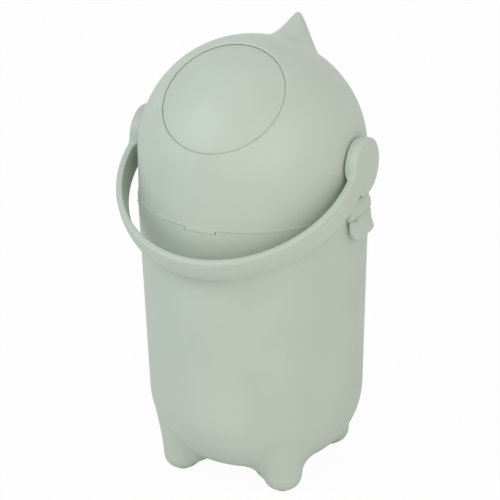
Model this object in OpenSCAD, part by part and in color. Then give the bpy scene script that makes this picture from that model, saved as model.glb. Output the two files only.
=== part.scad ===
// Nappy bin: a round bucket on four stub feet, closed by a domed head.
// The head has a sprung push flap, a swinging carrying handle and two side latches.
// Millimetres, +Z up. The origin lies on the floor, on the bucket's own axis.
// The front, with the flap and the tab, faces -Y.

/* [Bucket] */
// Height of the bucket's mouth above the floor
mouth_z = 323.7; // [290:0.1:360]
// Outer radius of the bucket at its mouth
mouth_r = 126.5; // [122:0.5:132]
// How much narrower the bucket is above its rounded bottom than at its mouth
body_taper = 6.4; // [4:0.1:10]
// Thickness of the bucket's wall
body_wall = 2.6; // [2:0.1:3.2]
// Width of the rounded bottom corner
corner_w = 63; // [58:1:68]
// Height of the rounded bottom corner
corner_h = 79.5; // [74:0.5:84]
// Height of the flat underside above the floor
belly_z = 19; // [16:0.5:22]

/* [Feet] */
// Distance from the bucket's side in to each foot's middle
foot_inset = 31.36; // [30:0.1:38]
// Radius of a foot near its lower end
foot_r = 21.5; // [20:0.5:23]
// Radius of the rounding round a foot's sole
foot_round = 17; // [14:0.5:17.5]
// Radius of a foot where it runs out into the bucket's side
foot_root_r = 28.5; // [26:0.5:28.5]
// Height where a foot runs out into the bucket's side
foot_root_z = 76; // [70:1:80]
// Radius of the leaning flare where it sinks into the underside
foot_flare_r = 45; // [40:1:46]
// Radius of a grip pad under a foot
pad_r = 9; // [6:0.5:10]
// Thickness of a grip pad
pad_h = 2.4; // [1.6:0.1:3]

/* [Dome] */
// Step from the bucket's mouth in to the dome
dome_step = 1.5; // [0.8:0.1:3]
// Spread of the dome's lower edge beyond its middle
dome_spread = 0.4; // [0:0.1:0.7]
// Height of the straight skirt below the dome's middle
skirt_h = 44.5; // [42:0.5:48]
// Thickness of the dome's wall
dome_wall = 2.6; // [2.2:0.1:2.8]
// Tilt of the horn's root away from upright, to the rear
horn_tilt = 53.2; // [51:0.2:55]
// Rise of the horn above the dome
horn_rise = 43.8; // [34:0.2:44]
// Angle from the horn's middle to the end of its flare
horn_spread = 29.6; // [26:0.2:32]
// Power of the horn's rise, higher for a thinner horn
horn_power = 2.66; // [2.4:0.02:3]
// Bluntness of the horn's tip, as a share of its spread
horn_blunt = 0.053; // [0.04:0.001:0.12]
// Upward lean of the horn, for each millimetre of its height
horn_lean = 0.47; // [0.3:0.01:0.48]

/* [Head base] */
// Height of the base's band that shows under the dome
band_h = 3.4; // [3:0.1:5]
// Inner radius of the chute through the base
chute_r = 95.5; // [90:0.5:97]
// Depth of the chute's collar below the base plate
chute_h = 21; // [16:1:24]
// Half of the angle that the front tab covers
tab_half_angle = 8.2; // [6:0.1:10]
// Depth of the front tab below the bucket's mouth
tab_drop = 3.3; // [2:0.1:5]

/* [Flap] */
// Tilt of the flap's face away from level, to the front
flap_tilt = 40; // [38:1:42]
// Outer radius of the flap
flap_r = 67.6; // [64:0.1:68]
// Clearance round the flap in its opening
flap_gap = 0.8; // [0.7:0.1:1]
// Rise of the flap's crown above its rim
flap_crown = 17; // [12:0.5:19]
// Thickness of the flap's skin
flap_wall = 2.4; // [2:0.1:3]
// Width of the bevel round the opening
bevel_w = 2.4; // [1:0.1:3]

/* [Handle] */
// Downward tilt of the resting handle
handle_tilt = 30.5; // [28:0.5:33]
// How far the handle's bow is wider than the ears' outer faces
bow_out = 0; // [-0.5:0.1:1.5]
// Distance from the pivot to the middle of the bow
bow_reach = 35.5; // [33:0.5:40]
// Thickness of the handle's strap
strap_t = 8.1; // [6:0.1:8.3]
// Width of the handle's strap
strap_w = 28.8; // [26:0.1:31]
// Radius of the round ear at each end of the handle
ear_r = 31.6; // [28:0.2:33]
// Distance of the ear's outer face beyond the dome
ear_out = 11.8; // [10.5:0.1:12.5]
// Angle that the handle swings over, from rest to the front of the horn
handle_travel = 150; // [140:1:153]

/* [Latches] */
// Width of a latch
latch_w = 51.2; // [44:0.2:54]
// Distance of the latch pin beyond the bucket's mouth
latch_pin_out = 3.9; // [3.5:0.1:4.2]
// Drop of the latch pin below the bucket's mouth
latch_pin_drop = 8.1; // [7.5:0.1:9]
// Radius of a latch hinge's knuckle
knuckle_r = 2.2; // [1.9:0.1:2.3]
// Radius of a latch pin
latch_pin_r = 1; // [0.8:0.1:1.1]
// Height of a latch lever below its pin
lever_h = 21; // [19:0.5:24]
// Outward flare of a lever's finger edge
lever_flare = 4.6; // [2:0.2:6]

/* [Clearances] */
// Gap between the head base and the bucket's mouth
seat_gap = 0.3; // [0.2:0.1:0.5]
// Gap between sliding and swinging surfaces
swing_gap = 0.4; // [0.35:0.05:0.5]
// Radial running clearance of a pin in its bore
run_gap = 0.06; // [0.02:0.01:0.1]
// Gap between the dome's side and the handle's ears
ear_gap = 0.9; // [0.8:0.1:1.5]

/* [Hidden] */
$fn = 96;
sage = "#b9c6b5";
soft_sage = "#a9b8a4";
dark_rubber = "#5c665a";
steel = "#b8bcc0";

arc_steps = 16;
far = 400;
cut = 1;

belly_r = mouth_r - body_taper;
dome_r = mouth_r - dome_step;
dome_edge_r = dome_r + dome_spread;
ear_face_x = dome_r + ear_out;
bow_r = ear_face_x + bow_out;
latch_pin_x = mouth_r + latch_pin_out;
foot_reach = belly_r - foot_inset;
foot_offset = foot_reach / sqrt(2);

band_z = mouth_z + seat_gap;
edge_z = band_z + band_h;
dome_z = edge_z + skirt_h;
inner_mouth_r = mouth_r - body_wall;
skirt_inner_r = dome_edge_r - dome_wall;

corner_z = belly_z + corner_h;
flat_r = belly_r - corner_w;
pad_stand = 0.6;
pad_fit = 0.1;
sole_r = foot_r - foot_round;
flare_low_z = 9;
flare_low_r = 18.9;
flare_high_z = 42;
flare_power = 1.17;
flare_shift = 0.9;
foot_floor_z = pad_h + body_wall;
foot_angles = [45, 135, 225, 315];
ledge_drop = 28.7;
ledge_z = mouth_z - ledge_drop;
ledge_h = 3;
ledge_w = 6;

ring_t = 2.5;
ring_inner_r = mouth_r - 27;
ring_collar_r = mouth_r - 22.5;
ring_collar_h = 9;
ring_fit = 0.5;

base_skirt_h = 12;
base_skirt_t = 2.6;
base_skirt_fit = 0.9;
horn_steps = 22;
horn_end = 0.75;
horn_root_z = dome_r - 7;
locator_h = 3.6;
locator_t = 2.4;
locator_fit = 0.5;
base_boss_r = 4.4;
base_boss_h = 17;
base_boss_angles = [45, 135, 225, 315];
screw_r = 1.5;
screw_head_r = 3.2;
screw_head_h = 2.2;
screw_fit = 0.05;
screw_hole_fit = 0.3;
base_screw_len = 12;
gasket_drop = 7.5;
gasket_h = 3;
gasket_groove = 1.2;
gasket_fit = 0.3;
tab_t = 2.8;
tab_gap_angle = 0.3;

rim_plane = sqrt(pow(dome_r, 2) - pow(flap_r + flap_gap, 2));
flap_rim_z = rim_plane - 1.2;
flange_z = flap_rim_z - 11.9;
flange_t = 2.5;
flange_r = flap_r + 5.9;
flap_gasket_t = 1.4;
flap_gasket_r = flange_r - 0.3;
flap_gasket_w = 3.6;
seat_z = flange_z + flange_t + flap_gasket_t + 0.3;
frame_inner_r = flap_r + 1.6;
frame_step_r = flange_r + 0.9;
frame_wall_r = frame_step_r + 1.6;
frame_r = frame_wall_r + 2;
frame_step_z = flange_z - 2;
frame_low_z = frame_step_z - 8.5;
frame_fit = 0.15;
frame_lug_r = 4.6;
frame_lug_t = 3;
frame_boss_r = 3.4;
frame_boss_at = frame_r + frame_boss_r + 0.4;
frame_boss_angles = [30, 150, 210, 330];
frame_screw_len = 8;
hinge_y = flange_r + 3.5;
hinge_z = flange_z - 12.5;
hinge_pin_r = 2;
hinge_barrel_r = 4;
hinge_barrel_half = 18;
hinge_lug_in = 28;
hinge_lug_w = 4;
hinge_pin_half = 33;
spring_in = 19;
spring_out = 27;
spring_r = 4;
spring_fit = 0.3;
arm_in = 9;
arm_w = 6;
arm_foot = 14;
flap_boss_r = 4;
flap_boss_at = 40;
flap_boss_angles = [45, 135, 225, 315];
flap_screw_len = 10;

ear_round = 3;
ear_skin = 3;
ear_rim = 3;
pivot_r = 8;
pivot_boss_r = 12;
pivot_boss_in = dome_r - 11;
pivot_end = pivot_boss_in - 0.3;
washer_r = 11;
washer_t = 2;
pivot_screw_r = 2;
pivot_screw_len = 14;
pivot_head_r = 4;
pivot_head_h = 2.6;
stop_r = 2.2;
stop_at = 20;
stop_angle = -90;
stop_rib = 2.5;
stop_play = 0.35;
strap_chamfer = 2;
leg_span = sqrt(pow(bow_reach, 2) + pow(ear_face_x, 2));
leg_lean = atan(bow_reach / ear_face_x) - acos(bow_r / leg_span);
leg_len = (bow_reach - bow_r * sin(leg_lean)) / cos(leg_lean);
leg_overlap = 1;
leg_inset = 0.01;

pin_z = mouth_z - latch_pin_drop;
latch_face_r = mouth_r + 5.3;
lever_in_r = mouth_r + 2.9;
latch_top_z = edge_z + 4.1;
bracket_in_r = mouth_r + swing_gap;
bracket_dome_r = dome_edge_r + 0.5;
slot_half = 0.3;
slot_chamfer = 1.2;
slot_depth = 1.9;
knuckle_half = 9.2;
knuckle_gap = 0.3;
knuckle_out = 16.5;
latch_pin_half = 16;
latch_corner_r = 8;
catch_z = mouth_z - 17.7;
catch_h = 2.5;
catch_out = 1.5;
catch_start = 19;
catch_end = 24;
hook_reach = 0.55;
hook_h = 2.6;
hook_gap = 0.6;

// Radius of the bucket's outside at a height above the rounded corner
function wall_r(z) = belly_r + (mouth_r - belly_r) * (z - corner_z) / (mouth_z - corner_z);

// Points of the rounded bottom corner, drawn in by a thickness
function corner_points(inset) =
    [for (i = [0:arc_steps])
        let (a = 90 * i / arc_steps)
        [flat_r + (corner_w - inset) * sin(a), corner_z - (corner_h - inset) * cos(a)]];

// Radius of a foot at a height
function foot_at(z) =
    foot_r + (foot_root_r - foot_r)
    * pow(max(0, z - foot_round) / (foot_root_z - foot_round), 1.4);

// Radius of a foot's leaning flare at a height
function flare_at(z) =
    flare_low_r + (foot_flare_r - flare_low_r)
    * pow((z - flare_low_z) / (flare_high_z - flare_low_z), flare_power);

// Share of the horn's rise at a share u of its spread
function horn_share(u) =
    pow(1 - (sqrt(u * u + horn_blunt * horn_blunt) - horn_blunt)
        / (sqrt(1 + horn_blunt * horn_blunt) - horn_blunt), horn_power);

// Radius and height on the horn's outline at a share u of its spread
function horn_point(u) =
    let (up = horn_share(u))
    let (out = dome_r + horn_rise * up * (1 - up))
    [out * sin(horn_spread * u), out * cos(horn_spread * u) + horn_rise * up * up];

// A round solid about Z from points of radius and height
module turned(points) {
    rotate_extrude() polygon(points);
}

// The bucket's outside or, with an inset, its hollow
module bucket_form(inset, over) {
    turned(concat(
        [[0, belly_z + inset]],
        corner_points(inset),
        [[mouth_r - inset, mouth_z], [mouth_r - inset, mouth_z + over], [0, mouth_z + over]]
    ));
}

// Copies of the children at the four feet
module at_feet() {
    for (x = [-foot_offset, foot_offset])
        for (y = [-foot_offset, foot_offset])
            translate([x, y, 0]) children();
}

// One stub foot with its rounded sole
module foot() {
    turned(concat(
        [[0, pad_stand]],
        [for (i = [0:arc_steps])
            let (a = 90 * i / arc_steps)
            [sole_r + foot_round * sin(a), pad_stand + foot_round * (1 - cos(a))]],
        [for (i = [1:arc_steps])
            let (z = foot_round + pad_stand + (foot_root_z - foot_round - pad_stand) * i / arc_steps)
            [foot_at(z), z]],
        [[0, foot_root_z]]
    ));
}

// Hollow of one foot, open to the bucket's inside
module foot_core() {
    turned(concat(
        [[0, foot_floor_z], [sole_r + body_wall, foot_floor_z]],
        [for (i = [0:arc_steps])
            let (z = foot_round + (foot_root_z - foot_round) * i / arc_steps)
            [foot_at(z) - body_wall, z]],
        [[0, foot_root_z]]
    ));
}

// The space inside the bucket's side that the feet's hollows keep to
module foot_limit() {
    turned(concat(
        [[0, 0], [flat_r + corner_w - body_wall, 0]],
        [[wall_r(foot_root_z + cut) - body_wall, foot_root_z + cut], [0, foot_root_z + cut]]
    ));
}

// Flare that spreads a foot into the underside, leaning in to the bucket's axis
module foot_flare() {
    multmatrix([
        [1, 0, -flare_shift, foot_reach + flare_shift * flare_low_z],
        [0, 1, 0, 0],
        [0, 0, 1, 0],
        [0, 0, 0, 1]
    ]) turned(concat(
        [[0, flare_low_z]],
        [for (i = [0:arc_steps])
            let (z = flare_low_z + (flare_high_z - flare_low_z) * i / arc_steps)
            [flare_at(z), z]],
        [[0, flare_high_z]]
    ));
}

// Ledge inside the bucket that the bag ring rests on
module ring_ledge() {
    top = ledge_z + ledge_h;
    turned([
        [wall_r(ledge_z - ledge_w) - body_wall - 0.2, ledge_z - ledge_w],
        [wall_r(ledge_z - ledge_w) - body_wall + cut, ledge_z - ledge_w],
        [wall_r(top) - body_wall + cut, top],
        [wall_r(top) - body_wall - ledge_w, top],
        [wall_r(top) - body_wall - ledge_w, ledge_z]
    ]);
}

// Bands of Y at one side, where the catch ribs and the hooks are
module catch_bands(side) {
    for (y = [-catch_end, catch_start])
        translate([side > 0 ? 0 : -far, y, 0]) cube([far, catch_end - catch_start, far]);
}

// Pair of catch ribs on one side of the bucket, under the latch lever
module catch_ribs(side) {
    intersection() {
        turned([
            [wall_r(catch_z) - cut, catch_z],
            [wall_r(catch_z) + catch_out, catch_z],
            [wall_r(catch_z) + catch_out - 0.6, catch_z + catch_h],
            [wall_r(catch_z) - cut, catch_z + catch_h]
        ]);
        catch_bands(side);
    }
}

// Wedge at the front, as wide as an angle to each side
module front_wedge(half_angle, z0, z1) {
    translate([0, 0, z0]) linear_extrude(z1 - z0)
        polygon([[0, 0], [-far * sin(half_angle), -far * cos(half_angle)],
                 [far * sin(half_angle), -far * cos(half_angle)]]);
}

module body_shell() {
    color(sage) difference() {
        union() {
            difference() {
                union() {
                    bucket_form(0, 0);
                    at_feet() foot();
                    for (a = foot_angles) rotate([0, 0, a]) foot_flare();
                }
                bucket_form(body_wall, cut);
                intersection() {
                    at_feet() foot_core();
                    foot_limit();
                }
            }
            ring_ledge();
            for (side = [-1, 1]) catch_ribs(side);
        }
        front_wedge(tab_half_angle + tab_gap_angle, mouth_z - tab_drop - swing_gap, mouth_z + cut);
        at_feet() translate([0, 0, -cut]) cylinder(h = pad_h + cut, r = pad_r + pad_fit);
    }
}

module foot_pads() {
    color(soft_sage) at_feet() turned([
        [0, 0], [pad_r - 0.6, 0], [pad_r, 0.6], [pad_r, pad_h], [0, pad_h]
    ]);
}

// Drop-in ring that holds the bag's edge
module bag_ring() {
    z = ledge_z + ledge_h;
    rim = wall_r(z) - body_wall - ring_fit;
    color(soft_sage) turned([
        [ring_inner_r, z], [rim, z], [rim, z + ring_t], [ring_collar_r + ring_t, z + ring_t],
        [ring_collar_r + ring_t, z + ring_collar_h], [ring_collar_r, z + ring_collar_h],
        [ring_collar_r, z + ring_t], [ring_inner_r, z + ring_t]
    ]);
}

// Copies of the children at the screws that join the dome to the base
module at_base_screws() {
    for (a = base_boss_angles)
        rotate([0, 0, a]) translate([skirt_inner_r - base_boss_r + 0.4, 0, 0]) children();
}

// Latch bracket on one side of the base
module latch_bracket(side) {
    mirror([side > 0 ? 0 : 1, 0, 0]) difference() {
        union() {
            intersection() {
                turned([
                    [bracket_dome_r, latch_top_z], [latch_face_r - 3.5, latch_top_z],
                    [latch_face_r, latch_top_z - 3.5], [latch_face_r, pin_z + slot_depth],
                    [latch_face_r - slot_chamfer, pin_z + slot_half],
                    [bracket_in_r, pin_z + slot_half], [bracket_in_r, band_z],
                    [mouth_r - cut, band_z], [mouth_r - cut, edge_z - 0.2],
                    [bracket_dome_r, edge_z - 0.2]
                ]);
                translate([0, -latch_w / 2, 0]) cube([far, latch_w, far]);
            }
            for (s = [-1, 1])
                translate([latch_pin_x, s * (knuckle_half + knuckle_gap + knuckle_out) / 2, pin_z])
                    rotate([90, 0, 0])
                        cylinder(h = knuckle_out - knuckle_half - knuckle_gap, r = knuckle_r,
                                 center = true);
        }
        translate([latch_pin_x, 0, pin_z]) rotate([90, 0, 0])
            cylinder(h = 2 * knuckle_half + 2 * knuckle_gap, r = knuckle_r + swing_gap, center = true);
        translate([latch_pin_x, 0, pin_z]) rotate([90, 0, 0])
            cylinder(h = 2 * latch_pin_half + 2 * pad_fit, r = latch_pin_r + run_gap, center = true);
    }
}

// Base of the head: plate, band, chute collar, skirt, front tab and latch brackets
module head_base() {
    skirt_r = inner_mouth_r - base_skirt_fit;
    gasket_z = band_z - gasket_drop;
    locator_r = skirt_inner_r - locator_fit;
    color(sage) difference() {
        union() {
            turned([
                [chute_r, band_z - chute_h], [chute_r + ring_t, band_z - chute_h],
                [chute_r + ring_t, band_z], [skirt_r - base_skirt_t, band_z],
                [skirt_r - base_skirt_t, band_z - base_skirt_h], [skirt_r, band_z - base_skirt_h],
                [skirt_r, gasket_z - gasket_h], [skirt_r - gasket_groove, gasket_z - gasket_h],
                [skirt_r - gasket_groove, gasket_z], [skirt_r, gasket_z], [skirt_r, band_z],
                [mouth_r, band_z], [mouth_r, edge_z], [locator_r, edge_z],
                [locator_r, edge_z + locator_h], [locator_r - locator_t, edge_z + locator_h],
                [locator_r - locator_t, edge_z], [chute_r, edge_z]
            ]);
            intersection() {
                turned([
                    [mouth_r - tab_t, mouth_z - tab_drop], [mouth_r, mouth_z - tab_drop],
                    [mouth_r, band_z + cut], [mouth_r - tab_t, band_z + cut]
                ]);
                front_wedge(tab_half_angle, 0, far);
            }
            for (side = [-1, 1]) latch_bracket(side);
        }
        at_base_screws() {
            translate([0, 0, edge_z]) cylinder(h = far, r = base_boss_r + swing_gap);
            translate([0, 0, band_z - cut]) cylinder(h = band_h + 2 * cut, r = screw_r + screw_hole_fit);
            translate([0, 0, band_z - cut])
                cylinder(h = screw_head_h + cut, r = screw_head_r + screw_hole_fit);
        }
    }
}

// A pan-head screw pointing up from its head's underside at the origin
module screw_up(r, len, head_r, head_h) {
    translate([0, 0, -head_h]) cylinder(h = head_h, r = head_r);
    cylinder(h = len, r = r);
}

module base_screws() {
    color(steel) at_base_screws() translate([0, 0, band_z + screw_head_h])
        screw_up(screw_r, base_screw_len, screw_head_r, screw_head_h);
}

module head_gasket() {
    skirt_r = inner_mouth_r - base_skirt_fit;
    z = band_z - gasket_drop;
    color(dark_rubber) turned([
        [skirt_r - gasket_groove, z - gasket_h], [skirt_r, z - gasket_h],
        [wall_r(z - gasket_h) - body_wall - gasket_fit, z - gasket_h / 2], [skirt_r, z],
        [skirt_r - gasket_groove, z]
    ]);
}

// The dome's form or, with an inset, its hollow
module dome_form(inset) {
    intersection() {
        translate([0, 0, dome_z]) sphere(r = dome_r - inset);
        translate([0, 0, dome_z - cut / 10]) cylinder(h = far, r = far);
    }
    translate([0, 0, edge_z - (inset > 0 ? cut : 0)])
        cylinder(h = skirt_h + (inset > 0 ? cut : 0), r1 = dome_edge_r - inset, r2 = dome_r - inset);
}

// The leaning horn about Z, with its tip up, or its core with an inset
module horn_form(inset) {
    points = [for (i = [0:horn_steps])
        let (p = horn_point(horn_end * i / horn_steps))
        if (p[0] >= inset) [p[0] - inset, p[1] - inset]];
    tip = points[0][0] > 0 ? [[0, points[0][1]]] : [];
    multmatrix([
        [1, 0, 0, 0],
        [0, 1, -horn_lean, horn_lean * horn_root_z],
        [0, 0, 1, 0],
        [0, 0, 0, 1]
    ]) turned(concat(tip, points, [[0, points[len(points) - 1][1]]]));
}

// Moves the children from the flap's own frame, Z along the flap's normal
module in_flap_frame() {
    translate([0, 0, dome_z]) rotate([flap_tilt, 0, 0]) children();
}

// Copies of the children at the flap frame's screws
module at_frame_screws() {
    for (a = frame_boss_angles)
        rotate([0, 0, a]) translate([frame_boss_at, 0, 0]) children();
}

module dome_cover() {
    color(sage) difference() {
        union() {
            difference() {
                union() {
                    dome_form(0);
                    translate([0, 0, dome_z]) rotate([-horn_tilt, 0, 0]) horn_form(0);
                }
                dome_form(dome_wall);
                translate([0, 0, dome_z]) rotate([-horn_tilt, 0, 0]) horn_form(dome_wall);
            }
            intersection() {
                dome_form(cut);
                union() {
                    at_base_screws() translate([0, 0, edge_z])
                        cylinder(h = base_boss_h, r = base_boss_r);
                    for (side = [-1, 1])
                        translate([side * pivot_boss_in, 0, dome_z]) rotate([0, side * 90, 0])
                            cylinder(h = far, r = pivot_boss_r);
                    in_flap_frame() at_frame_screws()
                        translate([0, 0, frame_low_z + frame_lug_t])
                            cylinder(h = far, r = frame_boss_r);
                }
            }
            for (side = [-1, 1])
                translate([side * (dome_r - dome_wall), 0, dome_z])
                    rotate([stop_angle, 0, 0]) translate([0, -stop_at, 0]) rotate([0, side * 90, 0])
                        cylinder(h = dome_wall + ear_gap + 1.6, r = stop_r);
        }
        at_base_screws() translate([0, 0, edge_z - cut])
            cylinder(h = base_screw_len + screw_head_h - band_h + 2 * cut, r = screw_r + screw_fit);
        translate([0, 0, dome_z]) rotate([0, 90, 0])
            cylinder(h = far, r = pivot_r + run_gap, center = true);
        in_flap_frame() {
            translate([0, 0, dome_r / 2]) cylinder(h = far, r = flap_r + flap_gap);
            translate([0, 0, rim_plane - bevel_w / 2])
                cylinder(h = bevel_w, r1 = flap_r + flap_gap, r2 = flap_r + flap_gap + bevel_w * 1.5);
            at_frame_screws() translate([0, 0, frame_low_z])
                cylinder(h = frame_screw_len - 0.6, r = screw_r + screw_fit);
        }
    }
}

// Frame behind the opening, with the gasket seat and the flap's hinge lugs
module flap_frame() {
    color(soft_sage) in_flap_frame() difference() {
        intersection() {
            union() {
                difference() {
                    turned([
                        [frame_inner_r, seat_z], [frame_step_r, seat_z],
                        [frame_step_r, frame_step_z], [frame_wall_r, frame_step_z],
                        [frame_wall_r, frame_low_z], [frame_r, frame_low_z],
                        [frame_r, dome_r], [frame_inner_r, dome_r]
                    ]);
                    translate([-hinge_lug_in, flap_r / 2, frame_low_z - cut])
                        cube([2 * hinge_lug_in, far, frame_step_z - frame_low_z + cut]);
                }
                at_frame_screws() translate([0, 0, frame_low_z])
                    cylinder(h = frame_lug_t, r = frame_lug_r);
                for (side = [-1, 1]) translate([side * (hinge_lug_in + hinge_lug_w / 2), 0, 0]) {
                    translate([0, hinge_y, hinge_z]) rotate([0, 90, 0])
                        cylinder(h = hinge_lug_w, r = hinge_barrel_r + 0.6, center = true);
                    translate([-hinge_lug_w / 2, hinge_y - 7.4, hinge_z])
                        cube([hinge_lug_w, 8, frame_step_z - hinge_z + cut]);
                }
            }
            sphere(r = dome_r - dome_wall - frame_fit);
        }
        translate([0, hinge_y, hinge_z]) rotate([0, 90, 0])
            cylinder(h = far, r = hinge_pin_r + run_gap, center = true);
        at_frame_screws() translate([0, 0, frame_low_z - cut])
            cylinder(h = frame_lug_t + 2 * cut, r = screw_r + screw_hole_fit);
    }
}

module frame_screws() {
    color(steel) in_flap_frame() at_frame_screws() translate([0, 0, frame_low_z])
        screw_up(screw_r, frame_screw_len - 1, screw_head_r, screw_head_h);
}

module flap_hinge_pin() {
    color(steel) in_flap_frame() translate([0, hinge_y, hinge_z]) rotate([0, 90, 0])
        cylinder(h = 2 * hinge_pin_half, r = hinge_pin_r, center = true);
}

module flap_springs() {
    color(steel) in_flap_frame() for (side = [-1, 1])
        translate([side * (spring_in + spring_out) / 2, hinge_y, hinge_z]) rotate([0, 90, 0])
            difference() {
                cylinder(h = spring_out - spring_in, r = spring_r, center = true);
                cylinder(h = far, r = hinge_pin_r + spring_fit, center = true);
            }
}

// Ball that shapes the flap's crown, drawn in by a thickness
module crown_ball(inset) {
    ball_r = (pow(flap_r, 2) + pow(flap_crown, 2)) / (2 * flap_crown);
    translate([0, 0, flap_rim_z + flap_crown - ball_r]) sphere(r = ball_r - inset);
}

module push_flap() {
    foot_z = flange_z + flange_t;
    color(sage) in_flap_frame() difference() {
        union() {
            difference() {
                intersection() {
                    translate([0, 0, foot_z]) cylinder(h = far, r = flap_r);
                    crown_ball(0);
                }
                intersection() {
                    translate([0, 0, foot_z - cut]) cylinder(h = far, r = flap_r - flap_wall);
                    crown_ball(flap_wall);
                }
            }
            intersection() {
                for (a = flap_boss_angles)
                    rotate([0, 0, a]) translate([flap_boss_at, 0, foot_z])
                        cylinder(h = far, r = flap_boss_r);
                crown_ball(cut);
            }
        }
        for (a = flap_boss_angles)
            rotate([0, 0, a]) translate([flap_boss_at, 0, foot_z - cut])
                cylinder(h = flap_screw_len + cut, r = screw_r + screw_fit);
    }
}

// Inner plate of the flap, with the arms and barrel of its hinge
module flap_backing() {
    color(soft_sage) in_flap_frame() difference() {
        union() {
            translate([0, 0, flange_z]) cylinder(h = flange_t, r = flange_r);
            translate([0, hinge_y, hinge_z]) rotate([0, 90, 0])
                cylinder(h = 2 * hinge_barrel_half, r = hinge_barrel_r, center = true);
            for (side = [-1, 1])
                translate([side * (arm_in + arm_w / 2), 0, 0]) rotate([90, 0, 90])
                    linear_extrude(arm_w, center = true) polygon([
                        [hinge_y - hinge_barrel_r - arm_foot, flange_z + cut],
                        [hinge_y - hinge_barrel_r - 2, flange_z + cut],
                        [hinge_y + 1, hinge_z + hinge_barrel_r - 1],
                        [hinge_y - 1, hinge_z - hinge_barrel_r + 1]
                    ]);
        }
        translate([0, hinge_y, hinge_z]) rotate([0, 90, 0])
            cylinder(h = far, r = hinge_pin_r + run_gap, center = true);
        for (a = flap_boss_angles)
            rotate([0, 0, a]) translate([flap_boss_at, 0, flange_z - cut])
                cylinder(h = flange_t + 2 * cut, r = screw_r + screw_hole_fit);
    }
}

module flap_gasket() {
    color(dark_rubber) in_flap_frame() translate([0, 0, flange_z + flange_t]) difference() {
        cylinder(h = flap_gasket_t, r = flap_gasket_r);
        translate([0, 0, -cut]) cylinder(h = flap_gasket_t + 2 * cut, r = flap_gasket_r - flap_gasket_w);
    }
}

module flap_screws() {
    color(steel) in_flap_frame() for (a = flap_boss_angles)
        rotate([0, 0, a]) translate([flap_boss_at, 0, flange_z])
            screw_up(screw_r, flap_screw_len, screw_head_r, screw_head_h);
}

// Section of the strap with chamfered edges, its outer face at a distance
module strap_section(outer, inset) {
    half = strap_w / 2 - inset;
    high = outer - inset;
    low = outer - strap_t + inset;
    c = strap_chamfer;
    polygon([
        [low, c - half], [low + c, -half], [high - c, -half], [high, c - half],
        [high, half - c], [high - c, half], [low + c, half], [low, half - c]
    ]);
}

// Round puck at the right end of the handle, about X
module ear_puck() {
    rotate([0, 90, 0]) turned(concat(
        [[0, pivot_end], [ear_r, pivot_end]],
        [for (i = [0:arc_steps])
            let (a = 90 * i / arc_steps)
            [ear_r - ear_round * (1 - cos(a)), ear_face_x - ear_round * (1 - sin(a))]],
        [[0, ear_face_x]]
    ));
}

// Ring-shaped hollow inside a puck, broken by the two ribs that meet the dome's stop lug
module ear_hollow() {
    rest_lug = stop_angle - handle_tilt;
    rib_turn = asin((stop_r + stop_rib / 2 + stop_play) / stop_at);
    difference() {
        rotate([0, 90, 0]) cylinder(h = ear_face_x - ear_skin, r = ear_r - ear_rim);
        rotate([0, 90, 0]) cylinder(h = far, r = pivot_boss_r, center = true);
        for (a = [rest_lug - rib_turn, rest_lug + handle_travel + rib_turn])
            rotate([a, 0, 0]) translate([-cut, -far, -stop_rib / 2]) cube([far, far, stop_rib]);
    }
}

// The space between the ears that the turning dome needs, with the two pivots left standing
module dome_room() {
    rotate([0, 90, 0]) difference() {
        cylinder(h = 2 * (dome_r + ear_gap), r = ear_r + cut, center = true);
        cylinder(h = far, r = pivot_r, center = true);
    }
}

// Leg of the strap from the bow's end to the right ear
module strap_leg() {
    translate([0, -bow_reach, 0]) rotate([0, 0, leg_lean]) translate([bow_r, leg_len, 0])
        rotate([90, 0, 0]) linear_extrude(leg_len + leg_overlap) strap_section(0, leg_inset);
}

// Copies of the children at both sides of the bin
module at_both_sides() {
    for (side = [-1, 1]) mirror([side > 0 ? 0 : 1, 0, 0]) children();
}

module handle() {
    color(sage) translate([0, 0, dome_z]) rotate([handle_tilt, 0, 0]) difference() {
        union() {
            translate([0, -bow_reach, 0]) rotate([0, 0, 180 - leg_lean])
                rotate_extrude(angle = 180 + 2 * leg_lean) strap_section(bow_r, 0);
            at_both_sides() {
                strap_leg();
                ear_puck();
            }
        }
        at_both_sides() ear_hollow();
        dome_room();
        at_both_sides() translate([pivot_end - cut, 0, 0]) rotate([0, 90, 0])
            cylinder(h = pivot_screw_len + cut, r = pivot_screw_r + screw_fit);
    }
}

module pivot_washers() {
    color(steel) for (side = [-1, 1])
        translate([side * (pivot_end - washer_t), 0, dome_z]) rotate([0, side * 90, 0])
            difference() {
                cylinder(h = washer_t, r = washer_r);
                translate([0, 0, -cut]) cylinder(h = washer_t + 2 * cut, r = pivot_screw_r + screw_hole_fit);
            }
}

module pivot_screws() {
    color(steel) for (side = [-1, 1])
        translate([side * (pivot_end - washer_t), 0, dome_z]) rotate([0, side * 90, 0])
            screw_up(pivot_screw_r, pivot_screw_len, pivot_head_r, pivot_head_h);
}

// Outline of a latch lever seen from the side of the bin, with round lower corners
module lever_outline() {
    half = latch_w / 2;
    low = pin_z - lever_h;
    r = latch_corner_r;
    polygon([[-half, low + r], [half, low + r], [half, pin_z + far], [-half, pin_z + far]]);
    translate([r - half, low]) square([latch_w - 2 * r, 2 * r]);
    for (s = [-1, 1]) translate([s * (half - r), low + r]) circle(r = r);
}

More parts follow.
